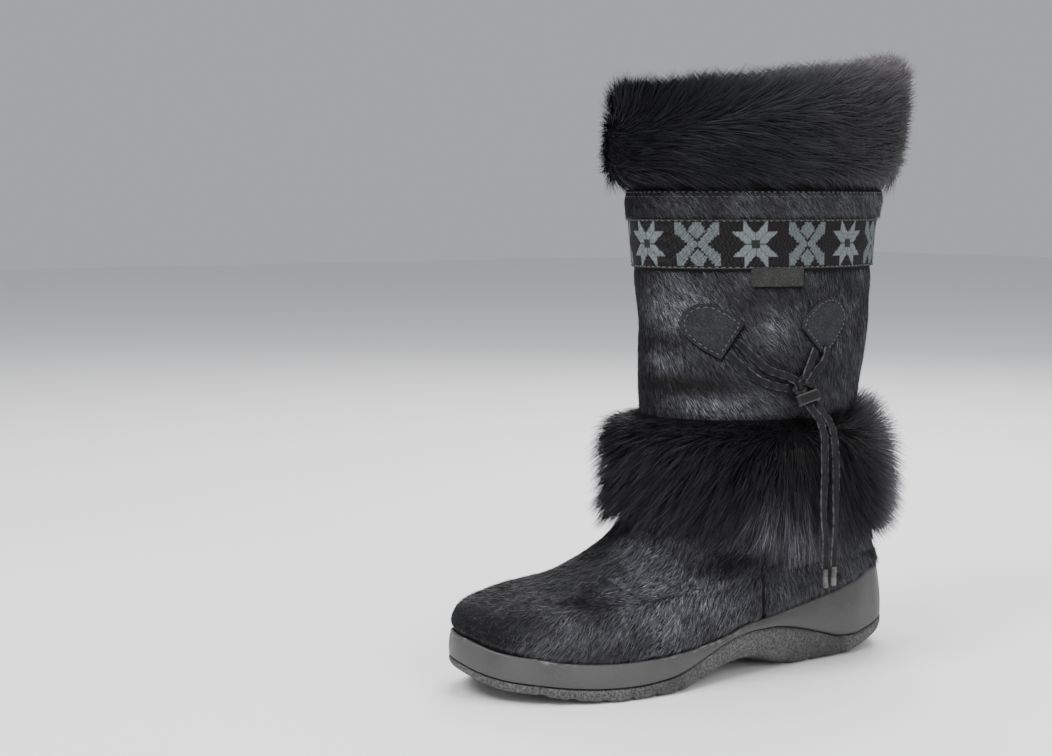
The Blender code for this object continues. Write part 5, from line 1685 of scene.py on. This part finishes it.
class BOOT_OT_patches(bpy.types.Operator):
    """Suede patches that hold the ties, with a stitched rim"""
    bl_idname = "boot.patches"
    bl_label = "Patches"

    def execute(self, context):
        suede = suede_material("patch suede", (0.030, 0.030, 0.034))
        thread = bpy.data.materials["thread"]
        for name in PATCHES:
            outline = dense_outline(name, 72)
            middle = outline.mean(axis=0)
            item = self.make_patch("suede_" + name, outline, middle, suede)
            finish_piece(item, (name,))
            self.make_rim_stitches("stitches_" + name, outline, middle, thread)
        return {"FINISHED"}

    def make_patch(self, name, outline, middle, suede):
        """Puffed plate: rings of the outline shrunk to its middle, highest just inside the stitch line."""
        profile = ((1.0, 0.0004), (1.0, 0.0013), (0.97, 0.0017), (0.93, 0.0015), (0.88, 0.0013),
                   (0.82, 0.0017), (0.74, 0.0019))
        profile += tuple((share, 0.0020) for share in (0.60, 0.45, 0.30, 0.15, 0.05))
        rings = [wall_points(*(middle + (outline - middle) * share).T, lift) for share, lift in profile]
        return closed_loft(name, np.stack(rings), suede)

    def make_rim_stitches(self, name, outline, middle, thread):
        """Stitches along the patch's edge, at about the same distance inside it."""
        inset, pitch, stitch, lift = 0.0017, 0.0026, 0.0016, 0.0016
        reach = np.linalg.norm(outline - middle, axis=1).mean()
        ring = middle + (outline - middle) * (1 - inset / reach)
        run = run_along(ring)
        begin = stitch_starts(run, pitch)
        start, end = (wall_points(*(np.interp(begin + shift, run, line) for line in ring.T), lift)
                      for shift in (0.0, stitch))
        item = spindle_mesh(name, start, end, 0.00024, thread)
        paint(item, "thread_colour", 0.120)
        finish_piece(item, ())


class BOOT_OT_stage(bpy.types.Operator):
    """Pale floor and soft studio light"""
    bl_idname = "boot.stage"
    bl_label = "Stage"

    def execute(self, context):
        settings = settings_of(context)
        made, _, shader = node_material("pale floor")
        shader.inputs["Base Color"].default_value = (*settings.floor_colour, 1.0)
        shader.inputs["Roughness"].default_value = 0.7
        size, low = 6.0, -0.0002
        corners = np.array([(-size, -size, low), (size, -size, low), (size, size, low), (-size, size, low)])
        floor = make_mesh("floor", corners, np.array([(0, 1, 2, 3)]), made, smooth=False)
        world = bpy.data.worlds.new("studio")
        context.scene.world = world
        world.use_nodes = True
        sky = world.node_tree.nodes["Background"].inputs
        sky["Color"].default_value = (0.92, 0.94, 1.0, 1.0)
        sky["Strength"].default_value = 0.47
        aim = Vector((0.0, -0.07, 0.16))
        lights = (
            ("key", (0.20, -1.40, 1.70), 1.0, 40.0), ("fill", (1.70, -0.10, 0.90), 1.4, 17.0),
            ("top", (0.10, 0.25, 1.90), 1.4, 40.0), ("behind", (-0.90, 0.90, 1.20), 0.9, 16.0),
        )
        for name, place, width, power in lights:
            data = bpy.data.lights.new(name, "AREA")
            data.size = width
            data.energy = power
            lamp = bpy.data.objects.new(name, data)
            context.scene.collection.objects.link(lamp)
            lamp.location = place
            lamp.rotation_euler = (aim - Vector(place)).to_track_quat("-Z", "Y").to_euler()
        return {"FINISHED"}


class BOOT_PT_panel(bpy.types.Panel):
    """Sidebar panel of the boot"""
    bl_label = "Fur Winter Boot"
    bl_idname = "BOOT_PT_panel"
    bl_space_type = "VIEW_3D"
    bl_region_type = "UI"
    bl_category = "Boot"

    def draw(self, context):
        for operator in OPERATORS:
            self.layout.operator(operator.bl_idname)
        settings = settings_of(context)
        for name in BootSettings.__annotations__:
            self.layout.prop(settings, name)


OPERATORS = (BOOT_OT_camera, BOOT_OT_ties, BOOT_OT_sole, BOOT_OT_shells, BOOT_OT_calf_hair,
             BOOT_OT_long_fur, BOOT_OT_braid, BOOT_OT_patches, BOOT_OT_stage)
CLASSES = (BootSettings, *OPERATORS, BOOT_PT_panel)


def register():
    """Add the boot's classes and settings."""
    for made in CLASSES:
        bpy.utils.register_class(made)
    bpy.types.Scene.boot_settings = bpy.props.PointerProperty(type=BootSettings)


def unregister():
    """Take the boot's classes and settings away."""
    del bpy.types.Scene.boot_settings
    for made in reversed(CLASSES):
        bpy.utils.unregister_class(made)


def main():
    """Build the boot piece by piece."""
    register()
    bpy.ops.boot.camera()
    bpy.ops.boot.ties()
    bpy.ops.boot.sole()
    bpy.ops.boot.shells()
    bpy.ops.boot.calf_hair()
    bpy.ops.boot.long_fur()
    bpy.ops.boot.braid()
    bpy.ops.boot.patches()
    bpy.ops.boot.stage()


if __name__ == "__main__":
    main()
